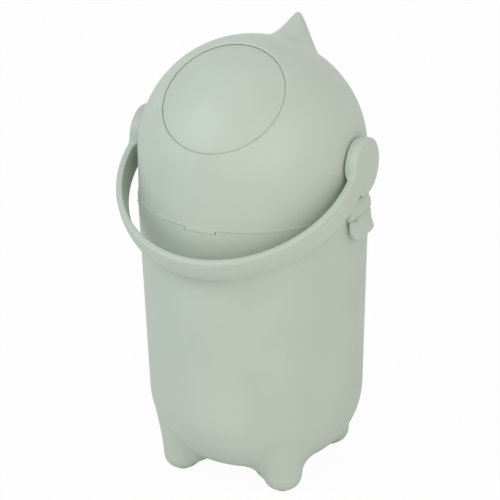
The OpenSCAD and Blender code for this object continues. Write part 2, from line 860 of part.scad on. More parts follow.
// Latch lever on the right side, with its knuckle, flare and hook
module lever() {
    low = pin_z - lever_h;
    hook_z = catch_z - hook_gap;
    difference() {
        union() {
            intersection() {
                turned([
                    [lever_in_r, pin_z - slot_half], [latch_face_r - slot_chamfer, pin_z - slot_half],
                    [latch_face_r, pin_z - slot_depth], [latch_face_r + 0.3, low + 13],
                    [latch_face_r + lever_flare * 0.35, low + 7],
                    [latch_face_r + lever_flare, low + 1.4], [latch_face_r + lever_flare, low],
                    [latch_face_r + lever_flare - 1.8, low],
                    [latch_face_r - 0.4, low + 5], [lever_in_r + 0.3, low + 9]
                ]);
                rotate([90, 0, 90]) linear_extrude(far) lever_outline();
            }
            intersection() {
                turned([
                    [lever_in_r - hook_reach, hook_z - hook_h / 2], [lever_in_r - hook_reach, hook_z],
                    [lever_in_r + cut, hook_z], [lever_in_r + cut, hook_z - hook_h]
                ]);
                catch_bands(1);
            }
            translate([latch_pin_x, 0, pin_z]) rotate([90, 0, 0])
                cylinder(h = 2 * knuckle_half, r = knuckle_r, center = true);
        }
        for (s = [-1, 1])
            translate([latch_pin_x, s * (knuckle_half + knuckle_out + knuckle_gap) / 2, pin_z])
                rotate([90, 0, 0])
                    cylinder(h = knuckle_out - knuckle_half + knuckle_gap, r = knuckle_r + swing_gap,
                             center = true);
        translate([latch_pin_x, 0, pin_z]) rotate([90, 0, 0])
            cylinder(h = far, r = latch_pin_r + run_gap, center = true);
    }
}

module latch_pin() {
    translate([latch_pin_x, 0, pin_z]) rotate([90, 0, 0])
        cylinder(h = 2 * latch_pin_half, r = latch_pin_r, center = true);
}

module latch_lever_right() { color(sage) lever(); }
module latch_lever_left() { color(sage) mirror([1, 0, 0]) lever(); }
module latch_pin_right() { color(steel) latch_pin(); }
module latch_pin_left() { color(steel) mirror([1, 0, 0]) latch_pin(); }

body_shell();
foot_pads();
bag_ring();
head_base();
base_screws();
head_gasket();
dome_cover();
flap_frame();
frame_screws();
flap_hinge_pin();
flap_springs();
push_flap();
flap_backing();
flap_gasket();
flap_screws();
handle();
pivot_washers();
pivot_screws();
latch_lever_right();
latch_lever_left();
latch_pin_right();
latch_pin_left();
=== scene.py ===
# %% [markdown]
# # A nappy bin, dressed over its CAD frame
# The bin is a round bucket on four stub feet, closed by a domed head with a leaning horn, a sprung
# flap, a strap handle and two side latches. Almost everything is one pale sage plastic, so the
# looks come from smooth forms, thin dark gaps and soft rounded edges. Each step below makes one
# piece in millimetres, and a helper writes it to the mesh in metres, in the CAD model's own frame.

import math

import bmesh
import bpy
import numpy as np
from mathutils import Matrix, Vector


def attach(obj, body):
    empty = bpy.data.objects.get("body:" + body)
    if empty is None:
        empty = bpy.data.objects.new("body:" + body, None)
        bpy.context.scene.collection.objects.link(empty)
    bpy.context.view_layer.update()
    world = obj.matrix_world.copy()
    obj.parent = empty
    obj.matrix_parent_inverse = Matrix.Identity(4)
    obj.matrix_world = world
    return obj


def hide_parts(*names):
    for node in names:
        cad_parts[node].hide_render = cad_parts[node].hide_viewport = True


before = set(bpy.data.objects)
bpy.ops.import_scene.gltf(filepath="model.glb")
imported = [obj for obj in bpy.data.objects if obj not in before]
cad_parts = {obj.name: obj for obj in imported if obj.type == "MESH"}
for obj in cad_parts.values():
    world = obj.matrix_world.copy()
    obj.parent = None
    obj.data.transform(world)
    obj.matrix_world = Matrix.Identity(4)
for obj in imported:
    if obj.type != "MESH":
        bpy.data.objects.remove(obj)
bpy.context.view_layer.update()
MM = 0.001

# %% [markdown]
# ## Sizes that several pieces share
# The real bin is a family of round parts that fit into each other. Keeping their radii and heights
# as named values in one place means that a gap between two pieces stays the same on both sides.

# %% Shared sizes in millimetres
MOUTH_Z, MOUTH_R, BELLY_R = 323.7, 126.5, 120.1
FLAT_R, CORNER_W, CORNER_H, CORNER_Z = 57.1, 63.0, 79.5, 98.5
BODY_WALL = 2.6
FOOT_AT, FOOT_R, FOOT_ROUND, FOOT_SOLE_Z = 62.749, 21.5, 17.0, 0.6
FOOT_ROOT_R, FOOT_ROOT_Z = 28.2, 67.9
BAND_Z, EDGE_Z, DOME_Z = 324.0, 327.4, 371.9
DOME_R, DOME_EDGE_R, SKIRT_H, DOME_WALL = 125.0, 125.4, 44.5, 2.6
FLAP_TILT = math.radians(40)
FLAP_R = 67.85
EAR_R, EAR_FACE, EAR_GAP = 31.6, 136.8, 0.9
BOW_R, BOW_REACH, STRAP_T, STRAP_W = 136.8, 35.5, 8.1, 28.8
HANDLE_TILT = math.radians(30.5)
PIN_Z, PIN_X, LATCH_HALF = 315.6, 130.4, 25.6
print("Head from z", BAND_Z, "to", DOME_Z + DOME_R, "mm, bucket mouth at", MOUTH_Z, "mm")

# %% [markdown]
# ## The camera
# The photograph was taken from the front right and a little above, with a long lens: the uprights
# hardly converge. The camera's axes are written out from two angles and a small roll, so that the
# picture's edges of the bin fall where they do in the photograph.

# %% Camera
CAM_AZ, CAM_EL, CAM_ROLL = math.radians(27.1), math.radians(22.8), math.radians(-0.966)
CAM_DISTANCE, CAM_TARGET_Z, CAM_TARGET_SIDE = 2.593875, 0.252375, -0.00475
back = Vector((math.sin(CAM_AZ) * math.cos(CAM_EL), -math.cos(CAM_AZ) * math.cos(CAM_EL), math.sin(CAM_EL)))
level = Vector((math.cos(CAM_AZ), math.sin(CAM_AZ), 0))
rise = back.cross(level)
cam_right = level * math.cos(CAM_ROLL) + rise * math.sin(CAM_ROLL)
cam_up = rise * math.cos(CAM_ROLL) - level * math.sin(CAM_ROLL)
cam_place = Vector((0, 0, CAM_TARGET_Z)) + level * CAM_TARGET_SIDE + back * CAM_DISTANCE


def placed(name, data):
    """A new object in the scene."""
    made = bpy.data.objects.new(name, data)
    bpy.context.scene.collection.objects.link(made)
    return made


camera_data = bpy.data.cameras.new("camera")
camera_data.lens, camera_data.sensor_width = 168.8, 36
camera = placed("camera", camera_data)
camera.matrix_world = Matrix((
    (cam_right.x, cam_up.x, back.x, cam_place.x),
    (cam_right.y, cam_up.y, back.y, cam_place.y),
    (cam_right.z, cam_up.z, back.z, cam_place.z),
    (0, 0, 0, 1),
))
bpy.context.scene.camera = camera
print("Camera at", [round(v, 3) for v in cam_place])

# %% [markdown]
# ## Meshes from numbers
# Most pieces are turned or swept, so a few helpers turn lists of points into closed meshes: one
# joins a grid of points with quads, and one turns an outline of radius and height about the axis.
# Merging doubles closes the seams and poles, and sharp corners are marked by their angle.

# %% Mesh helpers
SHARP = math.radians(38)


def grid_faces(rows, cols, wrap=False, start=0):
    """Quads of a grid of points kept row by row; wrap joins each row's end to its start."""
    faces = []
    for i in range(rows - 1):
        for j in range(cols if wrap else cols - 1):
            k = (j + 1) % cols
            a, b = start + i * cols, start + (i + 1) * cols
            faces.append((a + j, a + k, b + k, b + j))
    return faces


def smoothed(mesh):
    """Shades a mesh smooth, apart from its sharp corners."""
    mesh.shade_smooth()
    mesh.set_sharp_from_angle(angle=SHARP)
    return mesh


def piece(name, points, faces, outward=True):
    """A mesh object from points in millimetres, with its doubles merged and its faces outwards."""
    mesh = bpy.data.meshes.new(name)
    mesh.from_pydata([tuple(float(c) * MM for c in p) for p in points], [], faces)
    shape = bmesh.new()
    shape.from_mesh(mesh)
    bmesh.ops.remove_doubles(shape, verts=shape.verts, dist=0.01 * MM)
    if outward:
        bmesh.ops.recalc_face_normals(shape, faces=shape.faces)
    shape.to_mesh(mesh)
    shape.free()
    return placed(name, smoothed(mesh))


def turned(name, outline, steps=160):
    """A solid turned about Z from a closed outline of radius and height."""
    turn = np.linspace(0, 2 * math.pi, steps, endpoint=False)
    points = [(r * math.cos(t), r * math.sin(t), z) for r, z in outline + outline[:1] for t in turn]
    return piece(name, points, grid_faces(len(outline) + 1, steps, True))


def settle(made):
    """Bakes a piece's modifiers into its mesh."""
    bpy.context.view_layer.update()
    evaluated = made.evaluated_get(bpy.context.evaluated_depsgraph_get())
    mesh = bpy.data.meshes.new_from_object(evaluated)
    made.modifiers.clear()
    made.data = smoothed(mesh)
    return made


def softened(made, width, segments=3, angle=30):
    """Rounds a piece's sharp edges."""
    bevel = made.modifiers.new("edges", "BEVEL")
    bevel.width = width * MM
    bevel.segments = segments
    bevel.limit_method = "ANGLE"
    bevel.angle_limit = math.radians(angle)
    return settle(made)


def cut_with(made, tool):
    """Takes one closed piece out of another."""
    cut = made.modifiers.new("cut", "BOOLEAN")
    cut.operation = "DIFFERENCE"
    cut.solver = "EXACT"
    cut.object = tool
    settle(made)
    bpy.data.objects.remove(tool)
    return made


def joined(name, parts):
    """One piece out of several closed ones."""
    points, faces = [], []
    for part in parts:
        start = len(points)
        points += [tuple(c / MM for c in v.co) for v in part.data.vertices]
        faces += [tuple(start + i for i in f.vertices) for f in part.data.polygons]
        bpy.data.objects.remove(part)
    mesh = bpy.data.meshes.new(name)
    mesh.from_pydata([tuple(c * MM for c in p) for p in points], [], faces)
    return placed(name, smoothed(mesh))


def moved(made, matrix):
    """Places a piece by its mesh, so that its object stays at the origin."""
    made.data.transform(matrix)
    if matrix.determinant() < 0:
        made.data.flip_normals()
    return made


def block(name, low, high):
    """A box between two corners in millimetres."""
    xs, ys, zs = zip(low, high)
    points = [(x, y, z) for x in xs for y in ys for z in zs]
    faces = [(0, 1, 3, 2), (4, 6, 7, 5), (0, 4, 5, 1), (2, 3, 7, 6), (0, 2, 6, 4), (1, 5, 7, 3)]
    return piece(name, points, faces)


def turned_out(made, middle_z):
    """Turns all faces of an open skin away from a point on the bin's axis."""
    middle = Vector((0, 0, middle_z * MM))
    if sum((p.center - middle).dot(p.normal) * p.area for p in made.data.polygons) < 0:
        made.data.flip_normals()
    return made


def turned_to(x, y, z, axis="Z", angle=0.0):
    """Where a small part goes: first turned, then moved, in millimetres."""
    return Matrix.Translation((x * MM, y * MM, z * MM)) @ Matrix.Rotation(angle, 4, axis)


def ring_of(radius, z, angles):
    """Points on a circle about Z, at angles in degrees."""
    return [(radius * math.cos(math.radians(a)), radius * math.sin(math.radians(a)), z) for a in angles]


def mirrored(made, name):
    """The same piece on the bin's other side."""
    twin = placed(name, made.data.copy())
    return moved(twin, Matrix.Scale(-1, 4, (1, 0, 0)))


FLAP_FRAME = turned_to(0, 0, DOME_Z, "X", FLAP_TILT)
HANDLE_FRAME = turned_to(0, 0, DOME_Z, "X", HANDLE_TILT)
QUARTER = math.pi / 2
CORNERS = (45, 135, 225, 315)
print("Mesh helpers ready")

# %% [markdown]
# ## The plastic
# The shells are moulded in a satin, slightly warm grey green. Up close such plastic has a fine
# spark-eroded grain and very slight clouds in its tone and its shine, so the material adds a small
# bump, a slow change of colour and a slow change of roughness, all on Object coordinates.

# %% Plastic materials


def srgb(r, g, b):
    """A colour from 0 to 255 as the shader wants it."""
    return tuple((c / 255 / 12.92) if c <= 10 else ((c / 255 + 0.055) / 1.055) ** 2.4 for c in (r, g, b)) + (1,)


def plain_material(name, roughness, metallic=0.0):
    """A material with its shader, and the Object coordinates that its patterns use."""
    made = bpy.data.materials.new(name)
    made.use_nodes = True
    nodes = made.node_tree.nodes
    shader = nodes["Principled BSDF"]
    shader.inputs["Roughness"].default_value = roughness
    shader.inputs["Metallic"].default_value = metallic
    place = nodes.new("ShaderNodeTexCoord")
    return made, nodes, made.node_tree.links, shader, place.outputs["Object"]


def noise(nodes, links, place, scale, detail=2.0, stretch=None):
    """Noise on Object coordinates, stretched along an axis if asked."""
    if stretch:
        mapping = nodes.new("ShaderNodeMapping")
        mapping.inputs["Scale"].default_value = stretch
        links.new(place, mapping.inputs["Vector"])
        place = mapping.outputs["Vector"]
    texture = nodes.new("ShaderNodeTexNoise")
    texture.inputs["Scale"].default_value = scale
    texture.inputs["Detail"].default_value = detail
    links.new(place, texture.inputs["Vector"])
    return texture.outputs["Fac"]


def between(nodes, links, value, low, high):
    """A value from noise, brought between two limits."""
    limits = nodes.new("ShaderNodeMapRange")
    limits.inputs["From Min"].default_value = 0.3
    limits.inputs["From Max"].default_value = 0.7
    limits.inputs["To Min"].default_value = low
    limits.inputs["To Max"].default_value = high
    links.new(value, limits.inputs["Value"])
    return limits.outputs["Result"]


def two_tones(nodes, links, value, dark, light):
    """A colour that drifts between two close tones."""
    ramp = nodes.new("ShaderNodeValToRGB")
    ramp.color_ramp.elements[0].position = 0.35
    ramp.color_ramp.elements[0].color = dark
    ramp.color_ramp.elements[1].position = 0.65
    ramp.color_ramp.elements[1].color = light
    links.new(value, ramp.inputs["Fac"])
    return ramp.outputs["Color"]


def grain(nodes, links, shader, height, depth, strength):
    """A small bump on the surface."""
    bump = nodes.new("ShaderNodeBump")
    bump.inputs["Distance"].default_value = depth * MM
    bump.inputs["Strength"].default_value = strength
    links.new(height, bump.inputs["Height"])
    links.new(bump.outputs["Normal"], shader.inputs["Normal"])


def moulded_plastic(name, dark, light, roughness, grain_depth):
    """Satin plastic with a moulded grain."""
    made, nodes, links, shader, place = plain_material(name, roughness)
    clouds = noise(nodes, links, place, 14)
    links.new(two_tones(nodes, links, clouds, dark, light), shader.inputs["Base Color"])
    shine = between(nodes, links, noise(nodes, links, place, 45, 3), roughness - 0.03, roughness + 0.04)
    links.new(shine, shader.inputs["Roughness"])
    grain(nodes, links, shader, noise(nodes, links, place, 2600, 1), grain_depth, 0.35)
    return made


sage = moulded_plastic("sage_plastic", srgb(183, 194, 182), srgb(187, 198, 186), 0.42, 0.02)
inner = moulded_plastic("inner_plastic", srgb(166, 178, 162), srgb(172, 184, 168), 0.5, 0.03)
print("Plastics:", sage.name, inner.name)

# %% [markdown]
# ## Rubber and steel
# The seals and foot pads are matt dark rubber with a rougher skin. Screws, pins, springs and
# washers are bright steel with faint marks that run round them from turning, which a stretched
# noise gives at no cost in mesh.

# %% Rubber and steel materials


def rubber(name, dark, light):
    """Matt rubber with a slightly dusty skin."""
    made, nodes, links, shader, place = plain_material(name, 0.78)
    links.new(two_tones(nodes, links, noise(nodes, links, place, 60, 3), dark, light), shader.inputs["Base Color"])
    links.new(between(nodes, links, noise(nodes, links, place, 120), 0.7, 0.88), shader.inputs["Roughness"])
    grain(nodes, links, shader, noise(nodes, links, place, 1800, 2), 0.05, 0.4)
    return made


def turned_steel(name):
    """Bright steel with faint turning marks."""
    made, nodes, links, shader, place = plain_material(name, 0.3, 1.0)
    tone = noise(nodes, links, place, 220, 2)
    links.new(two_tones(nodes, links, tone, srgb(176, 179, 182), srgb(200, 202, 205)), shader.inputs["Base Color"])
    marks = noise(nodes, links, place, 900, 2, (0.15, 1.0, 1.0))
    links.new(between(nodes, links, marks, 0.22, 0.42), shader.inputs["Roughness"])
    grain(nodes, links, shader, marks, 0.01, 0.3)
    return made


seal = rubber("seal_rubber", srgb(70, 76, 68), srgb(80, 87, 78))
grip = rubber("grip_rubber", srgb(96, 104, 94), srgb(108, 116, 105))
steel = turned_steel("steel")


def finish_piece(made, material, slot_name, body, *nodes):
    """Gives a new piece its material, its body and the CAD nodes that it stands for."""
    made.data.materials.clear()
    made.data.materials.append(material)
    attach(made, body)
    if nodes:
        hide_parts(*nodes)
    print(made.name, "-", len(made.data.polygons), "faces on", body)
    return made


print("Rubber and steel:", seal.name, grip.name, steel.name)

# %% [markdown]
# ## The bucket
# The bucket and its four feet are one moulding, and the feet run into the rounded bottom in wide
# fillets. Modelled by hand such blends take patient patching. Here the form is a field of
# distances instead: the bucket and each foot say how far a point is from them, a smooth minimum
# melts them into one, and a net of points is pulled onto the surface where that distance is zero.

# %% The field of the bucket and its feet
FEET_BLEND = 28.7


def unit(v):
    return v / np.maximum(np.linalg.norm(v, axis=-1, keepdims=True), 1e-9)


def bucket_distance(p):
    """Distance to the bucket's outside, and its direction, for points in millimetres."""
    r = np.maximum(np.hypot(p[:, 0], p[:, 1]), 1e-6)
    radial = np.stack([p[:, 0] / r, p[:, 1] / r], 1)
    slope = (MOUTH_R - BELLY_R) / (MOUTH_Z - CORNER_Z)
    wall = r - (BELLY_R + slope * (p[:, 2] - CORNER_Z))
    qx, qz = np.maximum(r - FLAT_R, 0) / CORNER_W, (CORNER_Z - p[:, 2]) / CORNER_H
    k = np.maximum(np.hypot(qx, qz), 1e-3)
    gx, gz = qx / k / CORNER_W, -qz / k / CORNER_H
    steep = np.maximum(np.hypot(gx, gz), 1e-4)
    low = p[:, 2] < CORNER_Z
    away = np.where(low, (k - 1) / steep, wall)
    nr, nz = np.where(low, gx / steep, 1.0), np.where(low, gz / steep, -slope)
    return away, unit(np.stack([radial[:, 0] * nr, radial[:, 1] * nr, nz], 1))


def foot_distance(p, x, y):
    """Distance to one stub foot, and its direction."""
    d = p[:, :2] - (x, y)
    r = np.maximum(np.hypot(d[:, 0], d[:, 1]), 1e-6)
    turn_z = FOOT_ROUND + FOOT_SOLE_Z
    up = np.clip((p[:, 2] - turn_z) / (FOOT_ROOT_Z - turn_z), 0, 1.3)
    side = r - FOOT_R - (FOOT_ROOT_R - FOOT_R) * up ** 1.4
    out, down = np.maximum(r - (FOOT_R - FOOT_ROUND), 0), turn_z - p[:, 2]
    ball = np.maximum(np.hypot(out, down), 1e-6)
    low = down > 0
    away = np.where(low, ball - FOOT_ROUND, side)
    nr, nz = np.where(low, out / ball, 1.0), np.where(low, -down / ball, -0.15)
    return away, unit(np.stack([d[:, 0] / r * nr, d[:, 1] / r * nr, nz], 1))


def bin_distance(p):
    """The bucket and its feet, melted together where they meet at an angle."""
    away, way = bucket_distance(p)
    for x in (-FOOT_AT, FOOT_AT):
        for y in (-FOOT_AT, FOOT_AT):
            foot, foot_way = foot_distance(p, x, y)
            blend = np.maximum(FEET_BLEND * np.clip(1 - (way * foot_way).sum(1), 0, 1), 1e-3)
            h = np.clip(0.5 + 0.5 * (away - foot) / blend, 0, 1)
            away = away * (1 - h) + foot * h - blend * h * (1 - h)
    return away


print("Distance at the bucket's middle:", round(float(bin_distance(np.array([[0.0, 0.0, 200.0]]))[0]), 1), "mm")

# %% [markdown]
# The net is a classic one: space is cut into small cubes, every cube that the surface crosses gets
# one point, and neighbouring points are joined with quads. The points then slide evenly over the
# surface, which makes smooth shading possible with few faces.

# %% A net of quads over the field
NET_STEP = 3.5


def net_over(distance, low, high, step):
    """Points and quads where a distance field is zero."""
    counts = [int(round((h - l) / step)) + 1 for l, h in zip(low, high)]
    axes = [l + step * np.arange(n) for l, n in zip(low, counts)]
    cells = np.stack(np.meshgrid(*axes, indexing="ij"), -1)
    field = np.concatenate([distance(layer.reshape(-1, 3)) for layer in cells]).reshape(counts)
    nx, ny, nz = (n - 1 for n in counts)
    total, hits = np.zeros((nx, ny, nz, 3)), np.zeros((nx, ny, nz))
    corners = [(i, j, k) for i in (0, 1) for j in (0, 1) for k in (0, 1)]
    for a in corners:
        for axis in range(3):
            if a[axis]:
                continue
            b = tuple(v + (n == axis) for n, v in enumerate(a))
            fa = field[a[0]:a[0] + nx, a[1]:a[1] + ny, a[2]:a[2] + nz]
            fb = field[b[0]:b[0] + nx, b[1]:b[1] + ny, b[2]:b[2] + nz]
            crossed = (fa < 0) != (fb < 0)
            share = np.where(crossed, fa / np.where(crossed, fa - fb, 1), 0)
            point = np.array(a, float) + np.zeros((nx, ny, nz, 3))
            point[..., axis] += share
            total += point * crossed[..., None]
            hits += crossed
    used = hits > 0
    number = np.full(used.shape, -1)
    number[used] = np.arange(used.sum())
    where = np.argwhere(used)
    points = np.array(low) + step * (where + total[used] / hits[used][:, None])
    faces = []
    for axis in range(3):
        u, v = [n for n in range(3) if n != axis]
        after = [slice(None)] * 3
        after[axis] = slice(1, None)
        before = [slice(None)] * 3
        before[axis] = slice(None, -1)
        inside_a, inside_b = field[tuple(before)] < 0, field[tuple(after)] < 0
        for at in np.argwhere(inside_a != inside_b):
            if at[u] == 0 or at[v] == 0 or at[u] >= used.shape[u] or at[v] >= used.shape[v]:
                continue
            ring = []
            for du, dv in ((-1, -1), (0, -1), (0, 0), (-1, 0)):
                cell = at.copy()
                cell[u] += du
                cell[v] += dv
                ring.append(int(number[tuple(cell)]))
            faces.append(tuple(ring))
    return points, faces


def pulled_onto(distance, points, faces, fixed, rounds=4):
    """Evens out the net and pulls its points onto the surface."""
    pairs = np.array([(f[i], f[(i + 1) % 4]) for f in faces for i in range(4)])
    pairs = np.concatenate([pairs, pairs[:, ::-1]])
    free = ~fixed
    for _ in range(rounds):
        mean, count = np.zeros_like(points), np.zeros(len(points))
        np.add.at(mean, pairs[:, 0], points[pairs[:, 1]])
        np.add.at(count, pairs[:, 0], 1)
        points[free] += 0.5 * (mean / count[:, None] - points)[free]
        for _ in range(2):
            slope = np.stack([
                (distance(points + e) - distance(points - e)) / 0.2 for e in 0.1 * np.eye(3)
            ], 1)
            slope[fixed, 2] = 0
            points -= distance(points)[:, None] * slope / np.maximum((slope ** 2).sum(1), 1e-6)[:, None]
    return points


SIDE = math.ceil((MOUTH_R + 6) / NET_STEP) * NET_STEP
LAYERS = round((MOUTH_Z + 3) / NET_STEP)
net_low = (-SIDE, -SIDE, MOUTH_Z + NET_STEP / 2 - LAYERS * NET_STEP)
net_points, net_faces = net_over(bin_distance, net_low, (SIDE, SIDE, MOUTH_Z + NET_STEP / 2), NET_STEP)
at_mouth = net_points[:, 2] > MOUTH_Z - NET_STEP / 2 - 0.001
net_points[at_mouth, 2] = MOUTH_Z
net_points = pulled_onto(bin_distance, net_points, net_faces, at_mouth)
print("Bucket net:", len(net_points), "points,", len(net_faces), "quads, lowest", round(net_points[:, 2].min(), 2))

# %% [markdown]
# The net is only a skin, so Solidify gives it the wall of a moulding. A ledge for the bag ring runs
# round inside, two short ribs outside catch the latches' hooks, and the mouth has a shallow notch
# at the front that the head's tab drops into.

# %% Bucket wall, ledge, ribs and notch


def swept(name, outline, start, end, steps):
    """A solid from an outline of radius and height, swept about Z from one angle to another."""
    turn = np.radians(np.linspace(start, end, steps))
    points = [(r * math.cos(t), r * math.sin(t), z) for t in turn for r, z in outline]
    n = len(outline)
    faces = grid_faces(steps, n, True)
    faces += [tuple(range(n)), tuple(reversed(range((steps - 1) * n, steps * n)))]
    return piece(name, points, faces)


def wall_r(z):
    return BELLY_R + (MOUTH_R - BELLY_R) * (z - CORNER_Z) / (MOUTH_Z - CORNER_Z)


bucket_skin = turned_out(piece("bucket_skin", net_points, net_faces), MOUTH_Z / 2)
wall = bucket_skin.modifiers.new("wall", "SOLIDIFY")
wall.thickness = BODY_WALL * MM
wall.offset = -1
settle(bucket_skin)
FRONT, NOTCH_HALF, NOTCH_Z = -90, 8.5, 320.2
notch_line = [(100, NOTCH_Z), (150, NOTCH_Z), (150, NOTCH_Z + 10), (100, NOTCH_Z + 10)]
cut_with(bucket_skin, swept("notch", notch_line, FRONT - NOTCH_HALF, FRONT + NOTCH_HALF, 9))
LEDGE_LOW_Z, LEDGE_TOP_Z, LEDGE_REACH, LEDGE_LIP = 289, 298, 6, 2.6
low_r, top_r = wall_r(LEDGE_LOW_Z) - BODY_WALL, wall_r(LEDGE_TOP_Z) - BODY_WALL
ledge = turned("ledge", [
    (low_r - 0.2, LEDGE_LOW_Z), (low_r + 1, LEDGE_LOW_Z), (top_r + 1, LEDGE_TOP_Z),
    (top_r - LEDGE_REACH + 0.5, LEDGE_TOP_Z), (top_r - LEDGE_REACH, LEDGE_TOP_Z - 0.5),
    (top_r - LEDGE_REACH, LEDGE_TOP_Z - LEDGE_LIP),
])
CATCH_Z, CATCH_OUT = 306.0, 1.5
CATCH_BANDS = [(-10.75, -8.55), (8.55, 10.75)]
rib_line = [(wall_r(CATCH_Z) - 1, CATCH_Z), (wall_r(CATCH_Z) + CATCH_OUT, CATCH_Z),
            (wall_r(CATCH_Z) + CATCH_OUT - 0.6, CATCH_Z + 2.5), (wall_r(CATCH_Z) - 1, CATCH_Z + 2.5)]
ribs = [swept("rib", rib_line, side + a, side + b, 6) for side in (0, 180) for a, b in CATCH_BANDS]
bucket = joined("bucket", [bucket_skin, ledge] + ribs)
finish_piece(bucket, sage, "sage_plastic", "bucket", "body_shell")

# %% [markdown]
# ## The dome by Geometry Nodes
# The dome is the piece whose shape follows a rule: a half ball on a short skirt, a round opening
# whose lip rolls in, and a horn that swells out of the ball and leans up. A Geometry Nodes tree
# can say this in formulas. A plain grid is laid over the ball, its columns are meridians about the
# flap's axis, and its rows run from the opening's lip over the ball and down the skirt. The rows
# and columns crowd near the horn, where the surface turns fastest.

# %% A small language for node formulas


class Formula:
    """Adds math nodes to a tree, so that a rule can be written line by line."""

    def __init__(self, tree):
        self.tree = tree

    def _put(self, socket, value):
        if isinstance(value, (int, float)):
            socket.default_value = value
        else:
            self.tree.links.new(value, socket)

    def do(self, operation, *values):
        node = self.tree.nodes.new("ShaderNodeMath")
        node.operation = operation
        for socket, value in zip(node.inputs, values):
            self._put(socket, value)
        return node.outputs[0]

    def add(self, *values):
        total = values[0]
        for value in values[1:]:
            total = self.do("ADD", total, value)
        return total

    def sub(self, a, b):
        return self.do("SUBTRACT", a, b)

    def mul(self, *values):
        total = values[0]
        for value in values[1:]:
            total = self.do("MULTIPLY", total, value)
        return total

    def vector(self, x, y, z):
        node = self.tree.nodes.new("ShaderNodeCombineXYZ")
        for socket, value in zip(node.inputs, (x, y, z)):
            self._put(socket, value)
        return node.outputs[0]

    def of_vector(self, operation, a, b=None, scale=None):
        node = self.tree.nodes.new("ShaderNodeVectorMath")
        node.operation = operation
        self.tree.links.new(a, node.inputs[0])
        if b is not None:
            self.tree.links.new(b, node.inputs[1])
        if scale is not None:
            self._put(node.inputs["Scale"], scale)
        return node.outputs["Value" if operation == "DOT_PRODUCT" else "Vector"]


def node_tree(name, **sizes):
    """A Geometry Nodes tree with a named input for each size, in metres or as a plain number."""
    tree = bpy.data.node_groups.new(name, "GeometryNodeTree")
    tree.interface.new_socket("Geometry", in_out="INPUT", socket_type="NodeSocketGeometry")
    for key, value in sizes.items():
        kind = "NodeSocketInt" if isinstance(value, int) else "NodeSocketFloat"
        socket = tree.interface.new_socket(key.replace("_", " "), in_out="INPUT", socket_type=kind)
        socket.default_value = value
    tree.interface.new_socket("Geometry", in_out="OUTPUT", socket_type="NodeSocketGeometry")
    return tree, tree.nodes.new("NodeGroupInput").outputs


def close_tree(tree, geometry, material):
    """Ends a tree in Realize Instances and Set Material."""
    real = tree.nodes.new("GeometryNodeRealizeInstances")
    paint = tree.nodes.new("GeometryNodeSetMaterial")
    paint.inputs["Material"].default_value = material
    end = tree.nodes.new("NodeGroupOutput")
    tree.links.new(geometry, real.inputs[0])
    tree.links.new(real.outputs[0], paint.inputs["Geometry"])
    tree.links.new(paint.outputs[0], end.inputs[0])


def grown(name, tree, start=None, **sizes):
    """Runs a tree on a start mesh and keeps the result as a plain mesh."""
    mesh = bpy.data.meshes.new(name)
    if start:
        mesh.from_pydata([tuple(c * MM for c in p) for p in start], [], [])
    made = placed(name, mesh)
    modifier = made.modifiers.new(name, "NODES")
    modifier.node_group = tree
    for item in tree.interface.items_tree:
        if item.in_out == "INPUT" and item.name.replace(" ", "_") in sizes:
            modifier[item.identifier] = sizes[item.name.replace(" ", "_")]
    return settle(made)


print("Node helpers ready")

# %% The dome's rule
DOME_COLS, DOME_ROWS = 264, 136
dome_tree, size = node_tree(
    "dome_rule", Radius=DOME_R * MM, Edge_Spread=(DOME_EDGE_R - DOME_R) * MM, Skirt=SKIRT_H * MM,
    Flap_Tilt=FLAP_TILT, Lip_Radius=70.7 * MM, Lip_Width=2.6 * MM, Lip_Depth=1.1 * MM,
    Horn_Tilt=math.radians(50.53), Horn_Spread=math.radians(30.67), Horn_Rise=43.0 * MM,
    Horn_Power=3.22, Horn_Blunt=0.144, Horn_Lean=-18.38 * MM, Lean_Power=2.13,
)
f = Formula(dome_tree)
sheet = dome_tree.nodes.new("GeometryNodeMeshGrid")
for key, value in (("Size X", 1.0), ("Size Y", 1.0), ("Vertices X", DOME_COLS + 1), ("Vertices Y", DOME_ROWS + 1)):
    sheet.inputs[key].default_value = value
place = dome_tree.nodes.new("GeometryNodeInputPosition").outputs[0]
parts = dome_tree.nodes.new("ShaderNodeSeparateXYZ")
dome_tree.links.new(place, parts.inputs[0])
across = parts.outputs["X"]
down = f.add(parts.outputs["Y"], 0.5)

COL_CROWD, LIP_SHARE, SKIRT_SHARE = 0.22, 0.05, 0.9
spread = f.mul(across, f.add(COL_CROWD, f.mul(4 * (1 - COL_CROWD), f.do("POWER", f.do("ABSOLUTE", across), 2.0))))
turn = f.add(math.pi / 2, f.mul(2 * math.pi, spread))
lip = f.do("MAXIMUM", 0.0, f.sub(1.0, f.do("DIVIDE", down, LIP_SHARE)))
skirt = f.do("MAXIMUM", 0.0, f.do("DIVIDE", f.sub(down, SKIRT_SHARE), 1 - SKIRT_SHARE))
run = f.do("DIVIDE", f.sub(down, LIP_SHARE), SKIRT_SHARE - LIP_SHARE)
run = f.do("MINIMUM", 1.0, f.do("MAXIMUM", 0.0, run))
ROW_MID, ROW_CROWD, ROW_BEND, ROW_AT = 0.535, 0.30, 2.76, 0.583
off_mid = f.sub(run, ROW_MID)
crowded = f.add(ROW_AT, f.mul(off_mid, f.add(ROW_CROWD, f.mul(ROW_BEND, f.mul(off_mid, off_mid)))))
crowded = f.do("MINIMUM", 1.0, f.do("MAXIMUM", 0.0, crowded))

